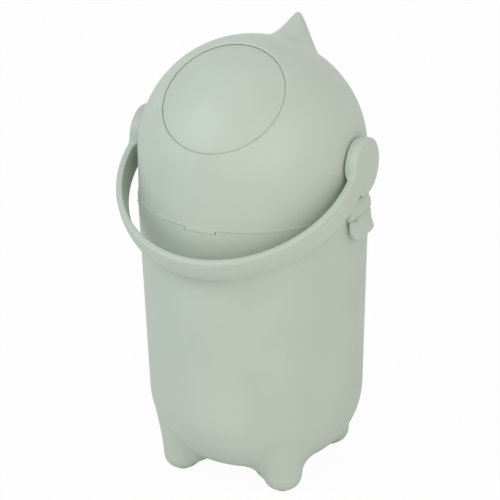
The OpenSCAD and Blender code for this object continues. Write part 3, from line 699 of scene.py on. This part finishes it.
tilt_sin, tilt_cos = f.do("SINE", size["Flap Tilt"]), f.do("COSINE", size["Flap Tilt"])
first = f.do("ARCSINE", f.do("DIVIDE", size["Lip Radius"], size["Radius"]))
last = f.do("ARCTAN2", tilt_cos, f.mul(-1.0, f.do("SINE", turn), tilt_sin))
angle = f.add(first, f.mul(f.sub(last, first), crowded))
fx = f.mul(f.do("SINE", angle), f.do("COSINE", turn))
fy = f.mul(f.do("SINE", angle), f.do("SINE", turn))
fz = f.do("COSINE", angle)
way = f.vector(fx, f.sub(f.mul(fy, tilt_cos), f.mul(fz, tilt_sin)), f.add(f.mul(fy, tilt_sin), f.mul(fz, tilt_cos)))

horn_sin, horn_cos = f.do("SINE", size["Horn Tilt"]), f.do("COSINE", size["Horn Tilt"])
horn_way = f.vector(0.0, horn_sin, horn_cos)
lean_way = f.vector(0.0, horn_cos, f.mul(-1.0, horn_sin))
dot = f.do("MINIMUM", 1.0, f.of_vector("DOT_PRODUCT", way, horn_way))
from_horn = f.do("MINIMUM", 1.0, f.do("DIVIDE", f.do("ARCCOSINE", dot), size["Horn Spread"]))
blunt = size["Horn Blunt"]
blunt_2 = f.mul(blunt, blunt)
reach = f.do("DIVIDE", f.sub(f.do("SQRT", f.add(f.mul(from_horn, from_horn), blunt_2)), blunt),
             f.sub(f.do("SQRT", f.add(1.0, blunt_2)), blunt))
horn = f.do("POWER", f.do("MAXIMUM", 0.0, f.sub(1.0, reach)), size["Horn Power"])
rise_by = f.mul(size["Horn Rise"], horn)
lean_by = f.mul(size["Horn Lean"], f.do("POWER", horn, size["Lean Power"]))
lip_in = f.mul(-1.0, size["Lip Width"], lip)
lip_down = f.mul(-1.0, size["Lip Depth"], f.do("POWER", lip, 1.5))
lip_x = f.mul(lip_in, f.do("COSINE", turn))
lip_y = f.mul(lip_in, f.do("SINE", turn))
lip_shift = f.vector(lip_x, f.sub(f.mul(lip_y, tilt_cos), f.mul(lip_down, tilt_sin)),
                     f.add(f.mul(lip_y, tilt_sin), f.mul(lip_down, tilt_cos)))

ball = f.of_vector("SCALE", way, scale=f.add(size["Radius"], f.mul(size["Edge Spread"], skirt),
                                             f.mul(rise_by, f.sub(1.0, horn))))
total = f.of_vector("ADD", ball, f.of_vector("SCALE", horn_way, scale=f.mul(rise_by, horn)))
total = f.of_vector("ADD", total, f.of_vector("SCALE", lean_way, scale=lean_by))
total = f.of_vector("ADD", total, lip_shift)
lift = f.sub(DOME_Z * MM, f.mul(size["Skirt"], skirt))
total = f.of_vector("ADD", total, f.vector(0.0, 0.0, lift))

bend = dome_tree.nodes.new("GeometryNodeSetPosition")
weld = dome_tree.nodes.new("GeometryNodeMergeByDistance")
weld.inputs["Distance"].default_value = 0.005 * MM
dome_tree.links.new(sheet.outputs["Mesh"], bend.inputs["Geometry"])
dome_tree.links.new(total, bend.inputs["Position"])
dome_tree.links.new(bend.outputs[0], weld.inputs["Geometry"])
close_tree(dome_tree, weld.outputs[0], sage)
dome_skin = grown("dome_skin", dome_tree)
print("Dome skin:", len(dome_skin.data.vertices), "points")

# %% [markdown]
# Solidify turns the skin into a wall, and inside it the dome carries the bosses that real screws
# need: four for the base and one round each pivot.

# %% The dome's wall and bosses


def rod(name, radius, low, high, steps=32, bore=0.0):
    """A round rod about Z, with a bore from its lower end if asked."""
    line = [(bore, low), (radius, low), (radius, high), (0, high)]
    line = line + [(0, high - 3), (bore, high - 3)] if bore else [(0, low)] + line[1:]
    return turned(name, line, steps)


turned_out(dome_skin, DOME_Z)
thickness = dome_skin.modifiers.new("wall", "SOLIDIFY")
thickness.thickness = DOME_WALL * MM
thickness.offset = -1
settle(dome_skin)
BASE_SCREW_AT, FLAP_SCREW_AT, SCREW_BORE = 118.8, 40, 1.55
PIVOT_BOSS_R, PIVOT_BOSS_FROM, PIVOT_BOSS_TO = 12, 114, 122.3
bosses = [moved(rod("boss", 4.4, EDGE_Z, EDGE_Z + 17, 24, SCREW_BORE), turned_to(*at))
          for at in ring_of(BASE_SCREW_AT, 0, CORNERS)]
bosses += [moved(rod("boss", PIVOT_BOSS_R, PIVOT_BOSS_FROM, PIVOT_BOSS_TO, 48),
                 turned_to(0, 0, DOME_Z, "Y", side * QUARTER)) for side in (-1, 1)]
dome = joined("dome", [dome_skin] + bosses)
finish_piece(dome, sage, "sage_plastic", "head", "dome_cover")

# %% [markdown]
# ## The flap
# The flap is a separate cap, flatter than the dome, that sits in the opening with a thin shadow
# gap round it. It is turned about its own axis, with a small rounding where the crown meets the
# side, and then tipped into the opening.

# %% Flap
FLAP_CROWN, FLAP_RIM_Z, FLAP_FOOT_Z, FLAP_WALL = 18.4, 101.7, 94.0, 2.4
ball_r = (FLAP_R ** 2 + FLAP_CROWN ** 2) / (2 * FLAP_CROWN)
ball_z = FLAP_RIM_Z + FLAP_CROWN - ball_r
EDGE_SOFT = 0.9


def cap_line(radius, reach, steps):
    """Points over a ball from its pole to a reach."""
    return [(radius * math.sin(t), ball_z + radius * math.cos(t))
            for t in np.linspace(0, math.asin(reach / radius), steps)]


over = cap_line(ball_r, FLAP_R - EDGE_SOFT, 40)
edge_z = over[-1][1]
roll = [(FLAP_R - EDGE_SOFT + EDGE_SOFT * math.sin(t), edge_z - EDGE_SOFT * (1 - math.cos(t)) - 0.2 * t)
        for t in np.radians([20, 40, 60, 80, 90])]
under = cap_line(ball_r - FLAP_WALL, FLAP_R - FLAP_WALL, 24)
flap_line = over + roll + [(FLAP_R, FLAP_FOOT_Z), (FLAP_R - FLAP_WALL, FLAP_FOOT_Z)] + under[::-1]
flap_shell = turned("flap_shell", flap_line)
FLAP_BOSS_TOP = 109
flap_bosses = [moved(rod("boss", 4, FLAP_FOOT_Z, FLAP_BOSS_TOP, 24, SCREW_BORE), turned_to(*at))
               for at in ring_of(FLAP_SCREW_AT, 0, CORNERS)]
flap = moved(joined("flap", [flap_shell] + flap_bosses), FLAP_FRAME)
finish_piece(flap, sage, "sage_plastic", "flap", "push_flap")

# %% [markdown]
# ## The handle
# The handle is one strap: flat ears at the pivots, short legs and a bow round the front. Seen flat
# it is an outline that is wide and round at both ends and narrow between, with fillets where the
# strap leaves the ears. The outline is drawn along the strap's own length, its edge is rolled over
# in small steps, and every point is then bent into place: straight at the ears, round at the bow.

# %% The strap's outline and how it bends
lean = math.atan(BOW_REACH / EAR_FACE) - math.acos(BOW_R / math.hypot(BOW_REACH, EAR_FACE))
LEG = (BOW_REACH - BOW_R * math.sin(lean)) / math.cos(lean)
BOW_HALF = BOW_R * (math.pi / 2 + lean)
HALF_LENGTH = LEG + BOW_HALF
FILLET = 9.0


def strap_half_width(s):
    """Half the handle's width at a distance from the pivot along the strap."""
    w = STRAP_W / 2
    touch_y = w + FILLET
    touch_s = math.sqrt((EAR_R + FILLET) ** 2 - touch_y ** 2)
    ear_end = touch_s * EAR_R / (EAR_R + FILLET)
    if s <= ear_end:
        return math.sqrt(max(EAR_R ** 2 - s ** 2, 0))
    if s < touch_s:
        return touch_y - math.sqrt(FILLET ** 2 - (touch_s - s) ** 2)
    return w


def bent(s, w, outer):
    """A point at a distance along the strap, across it, and in from its outer face."""
    if s < LEG:
        along = np.array([math.sin(lean), -math.cos(lean)])
        out = np.array([math.cos(lean), math.sin(lean)])
        share = min(max((s - 5) / 25, 0), 1)
        share = share * share * (3 - 2 * share)
        flat = np.array([EAR_FACE, -s])
        leg = np.array([EAR_FACE, 0]) + along * s
        at = flat * (1 - share) + leg * share - out * outer
    else:
        t = lean - (s - LEG) / BOW_R
        at = np.array([0, -BOW_REACH]) + (BOW_R - outer) * np.array([math.cos(t), math.sin(t)])
    return at[0], at[1], w


stations = [-EAR_R * math.cos(t) for t in np.linspace(0, math.pi / 2, 25)[:-1]]
stations += list(np.linspace(0, 40, 41)) + list(np.linspace(40, HALF_LENGTH, 75)[1:])
half_line = [(s, strap_half_width(s)) for s in stations]
line_s = np.array([s for s, _ in half_line] + [2 * HALF_LENGTH - s for s, _ in half_line[-2::-1]])
line_w = np.array([w for _, w in half_line] + [w for _, w in half_line[-2::-1]])
print("Strap length over the ears:", round(2 * HALF_LENGTH + 2 * EAR_R), "mm")

# %% The handle's mesh
SOFT_OUT, SOFT_IN, ACROSS = 2.3, 1.6, 12
tangent = np.stack([np.gradient(line_s), np.gradient(line_w)], 1)
tangent = unit(tangent)
tangent[0], tangent[-1] = (0, 1), (0, -1)
edge_in = np.stack([tangent[:, 1], -tangent[:, 0]], 1)


def eased(value, low, high):
    """A smooth step from 0 to 1 between two limits."""
    share = min(max((value - low) / (high - low), 0), 1)
    return share * share * (3 - 2 * share)


def inner_depth(s, w):
    """How deep the handle's inner face lies: beside the dome at the ear, then the strap's.
    The upper front part of the ear's rim follows the ball and fades out towards the strap."""
    s = min(s, 2 * HALF_LENGTH - s)
    flat = EAR_FACE - DOME_R - EAR_GAP
    beyond = math.hypot(s, w)
    ball = EAR_FACE - math.sqrt((DOME_R + 1.3) ** 2 - min(beyond, EAR_R) ** 2)
    rim = eased(beyond, 24, 29) * eased(w, 2, 12) * eased(s, -24, -8) * (1 - 0.3 * eased(s, -4, 24))
    to_strap = eased(s, 24, 34)
    return (flat + (ball - flat) * rim) * (1 - to_strap) + STRAP_T * to_strap


CROWN = 1.3


def outer_depth(s, w, half):
    """How far the strap's crowned outer face lies in; the ears are flat."""
    s = min(s, 2 * HALF_LENGTH - s)
    return CROWN * (w / max(half, 1.0)) ** 2 * eased(s, 30, 110)


rolls = [(SOFT_OUT * (1 - math.sin(t)), SOFT_OUT * (1 - math.cos(t)), False)
         for t in np.radians([0, 22, 45, 68, 90])]
rolls += [(SOFT_IN * (1 - math.cos(t)), SOFT_IN * (1 - math.sin(t)), True) for t in np.radians([0, 45, 90])]


def handle_point(s, w, depth):
    """A point of the handle in its own frame, either side of its middle."""
    if s <= HALF_LENGTH:
        return bent(s, w, depth)
    x, y, w = bent(2 * HALF_LENGTH - s, w, depth)
    return -x, y, w


n = len(line_s)
points, rings = [], []
for edge, sink, inward in rolls:
    ring = []
    for sign in (1, -1):
        order = range(n) if sign > 0 else range(n - 1, -1, -1)
        for i in order:
            s, w = line_s[i] + edge_in[i, 0] * edge, line_w[i] + edge_in[i, 1] * edge
            w = max(w, 0)
            depth = inner_depth(s, sign * w) - sink if inward else sink + outer_depth(s, w, line_w[i])
            ring.append(len(points))
            points.append(handle_point(s, sign * w, depth))
    rings.append(ring)
faces = []
for low_ring, high_ring in zip(rings, rings[1:]):
    for i in range(2 * n):
        k = (i + 1) % (2 * n)
        faces.append((low_ring[i], low_ring[k], high_ring[k], high_ring[i]))
for ring, edge, inward in ((rings[0], SOFT_OUT, False), (rings[-1], SOFT_IN, True)):
    rows = []
    for i in range(n):
        s, w = line_s[i] + edge_in[i, 0] * edge, max(line_w[i] + edge_in[i, 1] * edge, 0)
        row = [ring[i]]
        for share in np.linspace(1, -1, ACROSS + 1)[1:-1]:
            row.append(len(points))
            depth = inner_depth(s, w * share) if inward else outer_depth(s, w * share, line_w[i])
            points.append(handle_point(s, w * share, depth))
        rows.append(row + [ring[2 * n - 1 - i]])
    for upper, lower in zip(rows, rows[1:]):
        for j in range(ACROSS):
            faces.append((upper[j], upper[j + 1], lower[j + 1], lower[j]))
strap = piece("strap", points, faces)
spigots = [moved(rod("spigot", 8, 113.7, 128, 48), turned_to(0, 0, 0, "Y", side * QUARTER)) for side in (-1, 1)]
handle = moved(joined("handle", [strap] + spigots), HANDLE_FRAME)
finish_piece(handle, sage, "sage_plastic", "carrier", "handle")

# %% [markdown]
# ## The head's base
# Under the dome lies a ring that closes on the bucket. Outside, it shows as a thin band, a small
# tab at the front and a bracket at each side that the latch hangs from. Inside are the plate, the
# chute's collar and the skirt that centres the head. The ring is turned, the rest is swept and
# has its edges rounded by a bevel, because sharp plastic edges give a model away at once.

# %% Head base
ring = turned("ring", [
    (95.5, 303), (98, 303), (98, 324), (120.4, 324), (120.4, 312), (123, 312), (123, 313.5), (121.8, 313.5),
    (121.8, 316.5), (123, 316.5), (123, 324), (123.2, 323.85), (125.9, 323.85), (126.1, 324.05),
    (125.9, 327.1), (125.5, 327.4),
    (122.3, 327.4), (122.3, 331), (119.9, 331), (119.9, 327.4), (95.5, 327.4),
], 200)
BASE_SCREW_Z = 326.2
well_line = [(0, 320), (3.5, 320), (3.5, BASE_SCREW_Z), (1.8, BASE_SCREW_Z), (1.8, 340), (0, 340)]
wells = [moved(turned("well", well_line, 32), turned_to(*at)) for at in ring_of(BASE_SCREW_AT, 0, CORNERS)]
ring = cut_with(ring, joined("wells", wells))
TAB_LOW_Z, TAB_TOP_Z, TAB_FROM, TAB_TO, TAB_SOFT = MOUTH_Z - 3.4, 326.5, -98.4, -81.9, 0.35
tab_line = [(123.7, TAB_LOW_Z), (126.4, TAB_LOW_Z), (126.0, TAB_TOP_Z), (123.7, TAB_TOP_Z)]
tab = softened(swept("tab", tab_line, TAB_FROM, TAB_TO, 15), TAB_SOFT)
SLOT_TOP = PIN_Z + 0.3
bracket_line = [
    (125.9, 334.0), (127.2, 333.6), (128.6, 331.8), (130.2, 328.8), (131.3, 326.0), (131.8, 323.0),
    (131.8, 317.5), (131.3, 316.5), (130.4, SLOT_TOP), (126.9, SLOT_TOP), (126.9, 324), (125.5, 324),
    (125.5, 327.2), (125.9, 327.2),
]


def on_pin(name, radius, low, high, steps=28):
    """A round rod along the right latch's pin."""
    return moved(rod(name, radius, low, high, steps), turned_to(PIN_X, 0, PIN_Z, "X", QUARTER))


bracket = swept("bracket", bracket_line, -15, 15, 41)
for near, far in ((-LATCH_HALF, -60), (LATCH_HALF, 60)):
    cut_with(bracket, block("end", (110, min(near, far), 280), (150, max(near, far), 360)))
KNUCKLE, KNUCKLE_FREE, KNUCKLE_GAP, KNUCKLE_LONG = 2.2, 9.2, 0.4, 7.0
KNUCKLE_STARTS = (9.5, -16.5)
room = on_pin("room", KNUCKLE + KNUCKLE_GAP, -KNUCKLE_FREE - 0.3, KNUCKLE_FREE + 0.3, 32)
bracket = softened(cut_with(bracket, room), 0.9, 3)
knuckles = [on_pin("knuckle", KNUCKLE, low, low + KNUCKLE_LONG) for low in KNUCKLE_STARTS]
right_side = joined("right_side", [bracket] + knuckles)
left_side = mirrored(right_side, "left_side")
base = joined("base", [ring, tab, right_side, left_side])
finish_piece(base, sage, "sage_plastic", "head", "head_base")

# %% [markdown]
# ## The latch levers
# Each lever is a small plate that hangs from the bracket on a pin. Its lower edge flares outwards
# for a fingertip and has round corners. The plate is a sheet of points whose radius depends only
# on the height, so the flare simply runs out where the round corners end.

# %% Latch levers
LEVER_TOP, LEVER_LOW, LEVER_CORNER = PIN_Z - 0.3, 294.6, 8.0
out_z = [294.6, 296.0, 298.4, 301.6, 304.6, 307.6, 311.0, 313.7, 314.7, 315.3]
out_r = [136.3, 136.4, 135.1, 133.4, 132.5, 132.1, 131.9, 131.8, 131.3, 130.6]
in_z = [294.6, 296.5, 299.6, 303.6, 308.0, 315.3]
in_r = [134.6, 133.3, 131.5, 129.9, 129.4, 129.4]


def lever_low(y):
    """Lower edge of the lever at a distance from its middle."""
    over_by = max(abs(y) - (LATCH_HALF - LEVER_CORNER), 0)
    return LEVER_LOW + LEVER_CORNER - math.sqrt(max(LEVER_CORNER ** 2 - over_by ** 2, 0))


def lever_plate():
    """The lever's plate with two faces and a rim."""
    ys = LATCH_HALF * np.sin(np.linspace(-math.pi / 2, math.pi / 2, 57))
    ups = np.linspace(0, 1, 25)
    points = []
    for zs, rs in ((out_z, out_r), (in_z, in_r)):
        for y in ys:
            low = lever_low(y)
            for up in ups:
                z = low + (LEVER_TOP - low) * up
                r = float(np.interp(z, zs, rs))
                points.append((math.sqrt(r * r - y * y), y, z))
    rows, cols = len(ys), len(ups)
    faces = grid_faces(rows, cols) + [f[::-1] for f in grid_faces(rows, cols, False, rows * cols)]
    border = [i * cols for i in range(rows)] + [(rows - 1) * cols + j for j in range(1, cols)]
    border += [i * cols + cols - 1 for i in range(rows - 2, -1, -1)] + list(range(cols - 2, 0, -1))
    shift = rows * cols
    for a, b in zip(border, border[1:] + border[:1]):
        faces.append((a, b, b + shift, a + shift))
    return piece("plate", points, faces)


plate = softened(lever_plate(), 1.0, 3, 40)
gaps = [on_pin("gap", KNUCKLE + KNUCKLE_GAP, low, low + 8.6) for low in (8.9, -17.5)]
plate = cut_with(plate, joined("gaps", gaps))
middle = on_pin("middle", KNUCKLE, -KNUCKLE_FREE, KNUCKLE_FREE)
HOOK_TOP = CATCH_Z - 0.6
hook_line = [(128.85, HOOK_TOP - 1.3), (128.85, HOOK_TOP), (130.2, HOOK_TOP), (130.2, HOOK_TOP - 2.6)]
hooks = [swept("hook", hook_line, a, b, 6) for a, b in CATCH_BANDS]
lever_right = joined("lever_right", [plate, middle] + hooks)
lever_left = mirrored(lever_right, "lever_left")
finish_piece(lever_right, sage, "sage_plastic", "right_latch", "latch_lever_right")
finish_piece(lever_left, sage, "sage_plastic", "left_latch", "latch_lever_left")

# %% [markdown]
# ## Screws by Geometry Nodes
# All the bin's screws are the same pan-head kind, so one tree makes a head, a shank and a cross
# recess, and puts a copy on each point of a start mesh. Each tree turns all its screws one given
# way. Real copies come out at the end, because the export drops instances.

# %% Pan-head screws


def screw_tree(name, way):
    """A tree that puts a pan-head screw on each point, along one direction."""
    tree, size = node_tree(name, Shank=1.5 * MM, Head=3.2 * MM, Head_Height=2.2 * MM, Length=10.0 * MM)
    f = Formula(tree)
    crown = tree.nodes.new("GeometryNodeMeshCone")
    crown.inputs["Vertices"].default_value = 32
    crown.inputs["Side Segments"].default_value = 3
    tree.links.new(f.mul(size["Head"], 0.74), crown.inputs["Radius Top"])
    tree.links.new(size["Head"], crown.inputs["Radius Bottom"])
    tree.links.new(size["Head Height"], crown.inputs["Depth"])
    flip = tree.nodes.new("GeometryNodeTransform")
    flip.inputs["Rotation"].default_value = (math.pi, 0, 0)
    tree.links.new(crown.outputs["Mesh"], flip.inputs["Geometry"])
    recess = tree.nodes.new("GeometryNodeMeshBoolean")
    recess.operation = "DIFFERENCE"
    tree.links.new(flip.outputs[0], recess.inputs["Mesh 1"])
    for turn in (0.0, math.pi / 2):
        blade = tree.nodes.new("GeometryNodeMeshCube")
        slot = f.vector(size["Head"], f.mul(size["Head"], 0.22), f.mul(size["Head Height"], 1.1))
        tree.links.new(slot, blade.inputs["Size"])
        seat = tree.nodes.new("GeometryNodeTransform")
        seat.inputs["Rotation"].default_value = (0, 0, turn)
        tree.links.new(f.vector(0.0, 0.0, f.mul(size["Head Height"], -1.0)), seat.inputs["Translation"])
        tree.links.new(blade.outputs["Mesh"], seat.inputs["Geometry"])
        tree.links.new(seat.outputs[0], recess.inputs["Mesh 2"])
    shank = tree.nodes.new("GeometryNodeMeshCylinder")
    shank.inputs["Vertices"].default_value = 20
    tree.links.new(size["Shank"], shank.inputs["Radius"])
    tree.links.new(f.sub(size["Length"], 0.02 * MM), shank.inputs["Depth"])
    lift = tree.nodes.new("GeometryNodeTransform")
    tree.links.new(f.vector(0.0, 0.0, f.mul(size["Length"], 0.5)), lift.inputs["Translation"])
    tree.links.new(shank.outputs["Mesh"], lift.inputs["Geometry"])
    gather = tree.nodes.new("GeometryNodeJoinGeometry")
    tree.links.new(lift.outputs[0], gather.inputs[0])
    tree.links.new(recess.outputs["Mesh"], gather.inputs[0])
    aim = tree.nodes.new("FunctionNodeAlignRotationToVector")
    aim.axis = "Z"
    aim.inputs["Vector"].default_value = way
    spread = tree.nodes.new("GeometryNodeInstanceOnPoints")
    start = [n for n in tree.nodes if n.type == "GROUP_INPUT"][0]
    tree.links.new(start.outputs[0], spread.inputs["Points"])
    tree.links.new(gather.outputs[0], spread.inputs["Instance"])
    tree.links.new(aim.outputs[0], spread.inputs["Rotation"])
    close_tree(tree, spread.outputs[0], steel)
    return tree


def in_flap_frame(points):
    """Points in the flap's frame, in millimetres, moved to the bin's."""
    return [tuple((FLAP_FRAME @ (Vector(p) * MM)) / MM) for p in points]


FRAME_SCREW_AT, FRAME_SCREW_Z, FLAP_SCREW_Z = 81.8, 81.0, 91.5
UP, FLAP_WAY = (0, 0, 1), (0, -math.sin(FLAP_TILT), math.cos(FLAP_TILT))
base_heads = grown("base_screw_set", screw_tree("base_screw_rule", UP),
                   ring_of(BASE_SCREW_AT, BASE_SCREW_Z, CORNERS), Length=12.0 * MM)
finish_piece(base_heads, steel, "steel", "head", "base_screws")
frame_heads = grown("frame_screw_set", screw_tree("frame_screw_rule", FLAP_WAY),
                    in_flap_frame(ring_of(FRAME_SCREW_AT, FRAME_SCREW_Z, (30, 150, 210, 330))),
                    Length=7.0 * MM)
finish_piece(frame_heads, steel, "steel", "head", "frame_screws")
flap_heads = grown("flap_screw_set", screw_tree("flap_screw_rule", FLAP_WAY),
                   in_flap_frame(ring_of(FLAP_SCREW_AT, FLAP_SCREW_Z, CORNERS)), Length=10.0 * MM)
finish_piece(flap_heads, steel, "steel", "flap", "flap_screws")

# %% [markdown]
# ## Materials of the pieces that stay as the CAD made them
# The pieces inside the head have the right shape already, so they only get their finish, by
# putting the material in each object's own slots.

# %% Finishes for the CAD's own pieces
kept = {
    "bag_ring": inner, "flap_frame": inner, "flap_backing": inner, "head_gasket": seal, "flap_gasket": seal,
    "foot_pads": grip, "flap_hinge_pin": steel, "flap_springs": steel, "pivot_washers": steel,
    "pivot_screws": steel, "latch_pin_right": steel, "latch_pin_left": steel,
}
for name, material in kept.items():
    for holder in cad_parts[name].material_slots:
        holder.material = material
print("Finished CAD pieces:", len(kept))

# %% [markdown]
# ## Floor, light and background
# The photograph is a cut-out on white with soft light from the upper left. A wide soft lamp there,
# a weaker one on the right and a pale world give that, and the white behind comes from Light Path,
# so it adds no light to the bin. The floor shows nearly white to the camera in the same way, and
# keeps a trace of the bin's shadow.

# %% Floor, world and lamps
FLOOR_TONE, FLOOR_GLOW, FLOOR_HALF, SKY_LEVEL = 0.88, 0.96, 4000, 0.67
floor_points = [(x * FLOOR_HALF, y * FLOOR_HALF, 0) for x, y in ((-1, -1), (1, -1), (1, 1), (-1, 1))]
floor = piece("floor", floor_points, [(0, 1, 2, 3)], False)
floor_paint = bpy.data.materials.new("floor")
floor_paint.use_nodes = True
nodes, links = floor_paint.node_tree.nodes, floor_paint.node_tree.links
floor_shader = nodes["Principled BSDF"]
floor_shader.inputs["Base Color"].default_value = (FLOOR_TONE, FLOOR_TONE, FLOOR_TONE, 1)
floor_shader.inputs["Roughness"].default_value = 0.9
floor_shader.inputs["Specular IOR Level"].default_value = 0.1
glow = nodes.new("ShaderNodeEmission")
seen_directly = nodes.new("ShaderNodeLightPath")
glow_share = nodes.new("ShaderNodeMath")
glow_share.operation = "MULTIPLY"
glow_share.inputs[1].default_value = FLOOR_GLOW
lit_or_white = nodes.new("ShaderNodeMixShader")
links.new(seen_directly.outputs["Is Camera Ray"], glow_share.inputs[0])
links.new(glow_share.outputs[0], lit_or_white.inputs[0])
links.new(floor_shader.outputs[0], lit_or_white.inputs[1])
links.new(glow.outputs[0], lit_or_white.inputs[2])
links.new(lit_or_white.outputs[0], nodes["Material Output"].inputs["Surface"])
floor.data.materials.append(floor_paint)

world = bpy.data.worlds.new("studio")
bpy.context.scene.world = world
world.use_nodes = True
nodes, links = world.node_tree.nodes, world.node_tree.links
sky = nodes["Background"]
sky.inputs["Color"].default_value = (1, 1, 1, 1)
sky.inputs["Strength"].default_value = SKY_LEVEL
white = nodes.new("ShaderNodeBackground")
white.inputs["Color"].default_value = (1, 1, 1, 1)
white.inputs["Strength"].default_value = 1.0
path = nodes.new("ShaderNodeLightPath")
seen = nodes.new("ShaderNodeMath")
seen.operation = "MAXIMUM"
seen_through = nodes.new("ShaderNodeMath")
seen_through.operation = "MAXIMUM"
links.new(path.outputs["Is Camera Ray"], seen.inputs[0])
links.new(path.outputs["Is Glossy Ray"], seen.inputs[1])
links.new(seen.outputs[0], seen_through.inputs[0])
links.new(path.outputs["Is Transmission Ray"], seen_through.inputs[1])
choice = nodes.new("ShaderNodeMixShader")
links.new(seen_through.outputs[0], choice.inputs[0])
links.new(sky.outputs[0], choice.inputs[1])
links.new(white.outputs[0], choice.inputs[2])
links.new(choice.outputs[0], nodes["World Output"].inputs["Surface"])


def lamp(name, place, target, size, power, tint):
    """A soft square lamp that looks at a point."""
    data = bpy.data.lights.new(name, "AREA")
    data.color = tint
    data.size = size
    data.energy = power
    made = placed(name, data)
    made.location = place
    made.rotation_euler = (Vector(target) - Vector(place)).to_track_quat("-Z", "Y").to_euler()
    return made


lamp("key", place=(-1.25, -1.75, 2.1), target=(0, 0, 0.3), size=1.3, power=19.5, tint=(0.93, 1.0, 1.04))
lamp("fill", place=(1.9, -1.5, 1.3), target=(0, 0, 0.25), size=1.6, power=16, tint=(1.06, 0.96, 0.84))
bpy.context.scene.view_settings.view_transform = "Standard"
print("Floor, world and lamps ready")

# %% [markdown]
# ## The end
# The view layer is brought up to date, so that every piece stands where it was put.

# %% The end
bpy.context.view_layer.update()
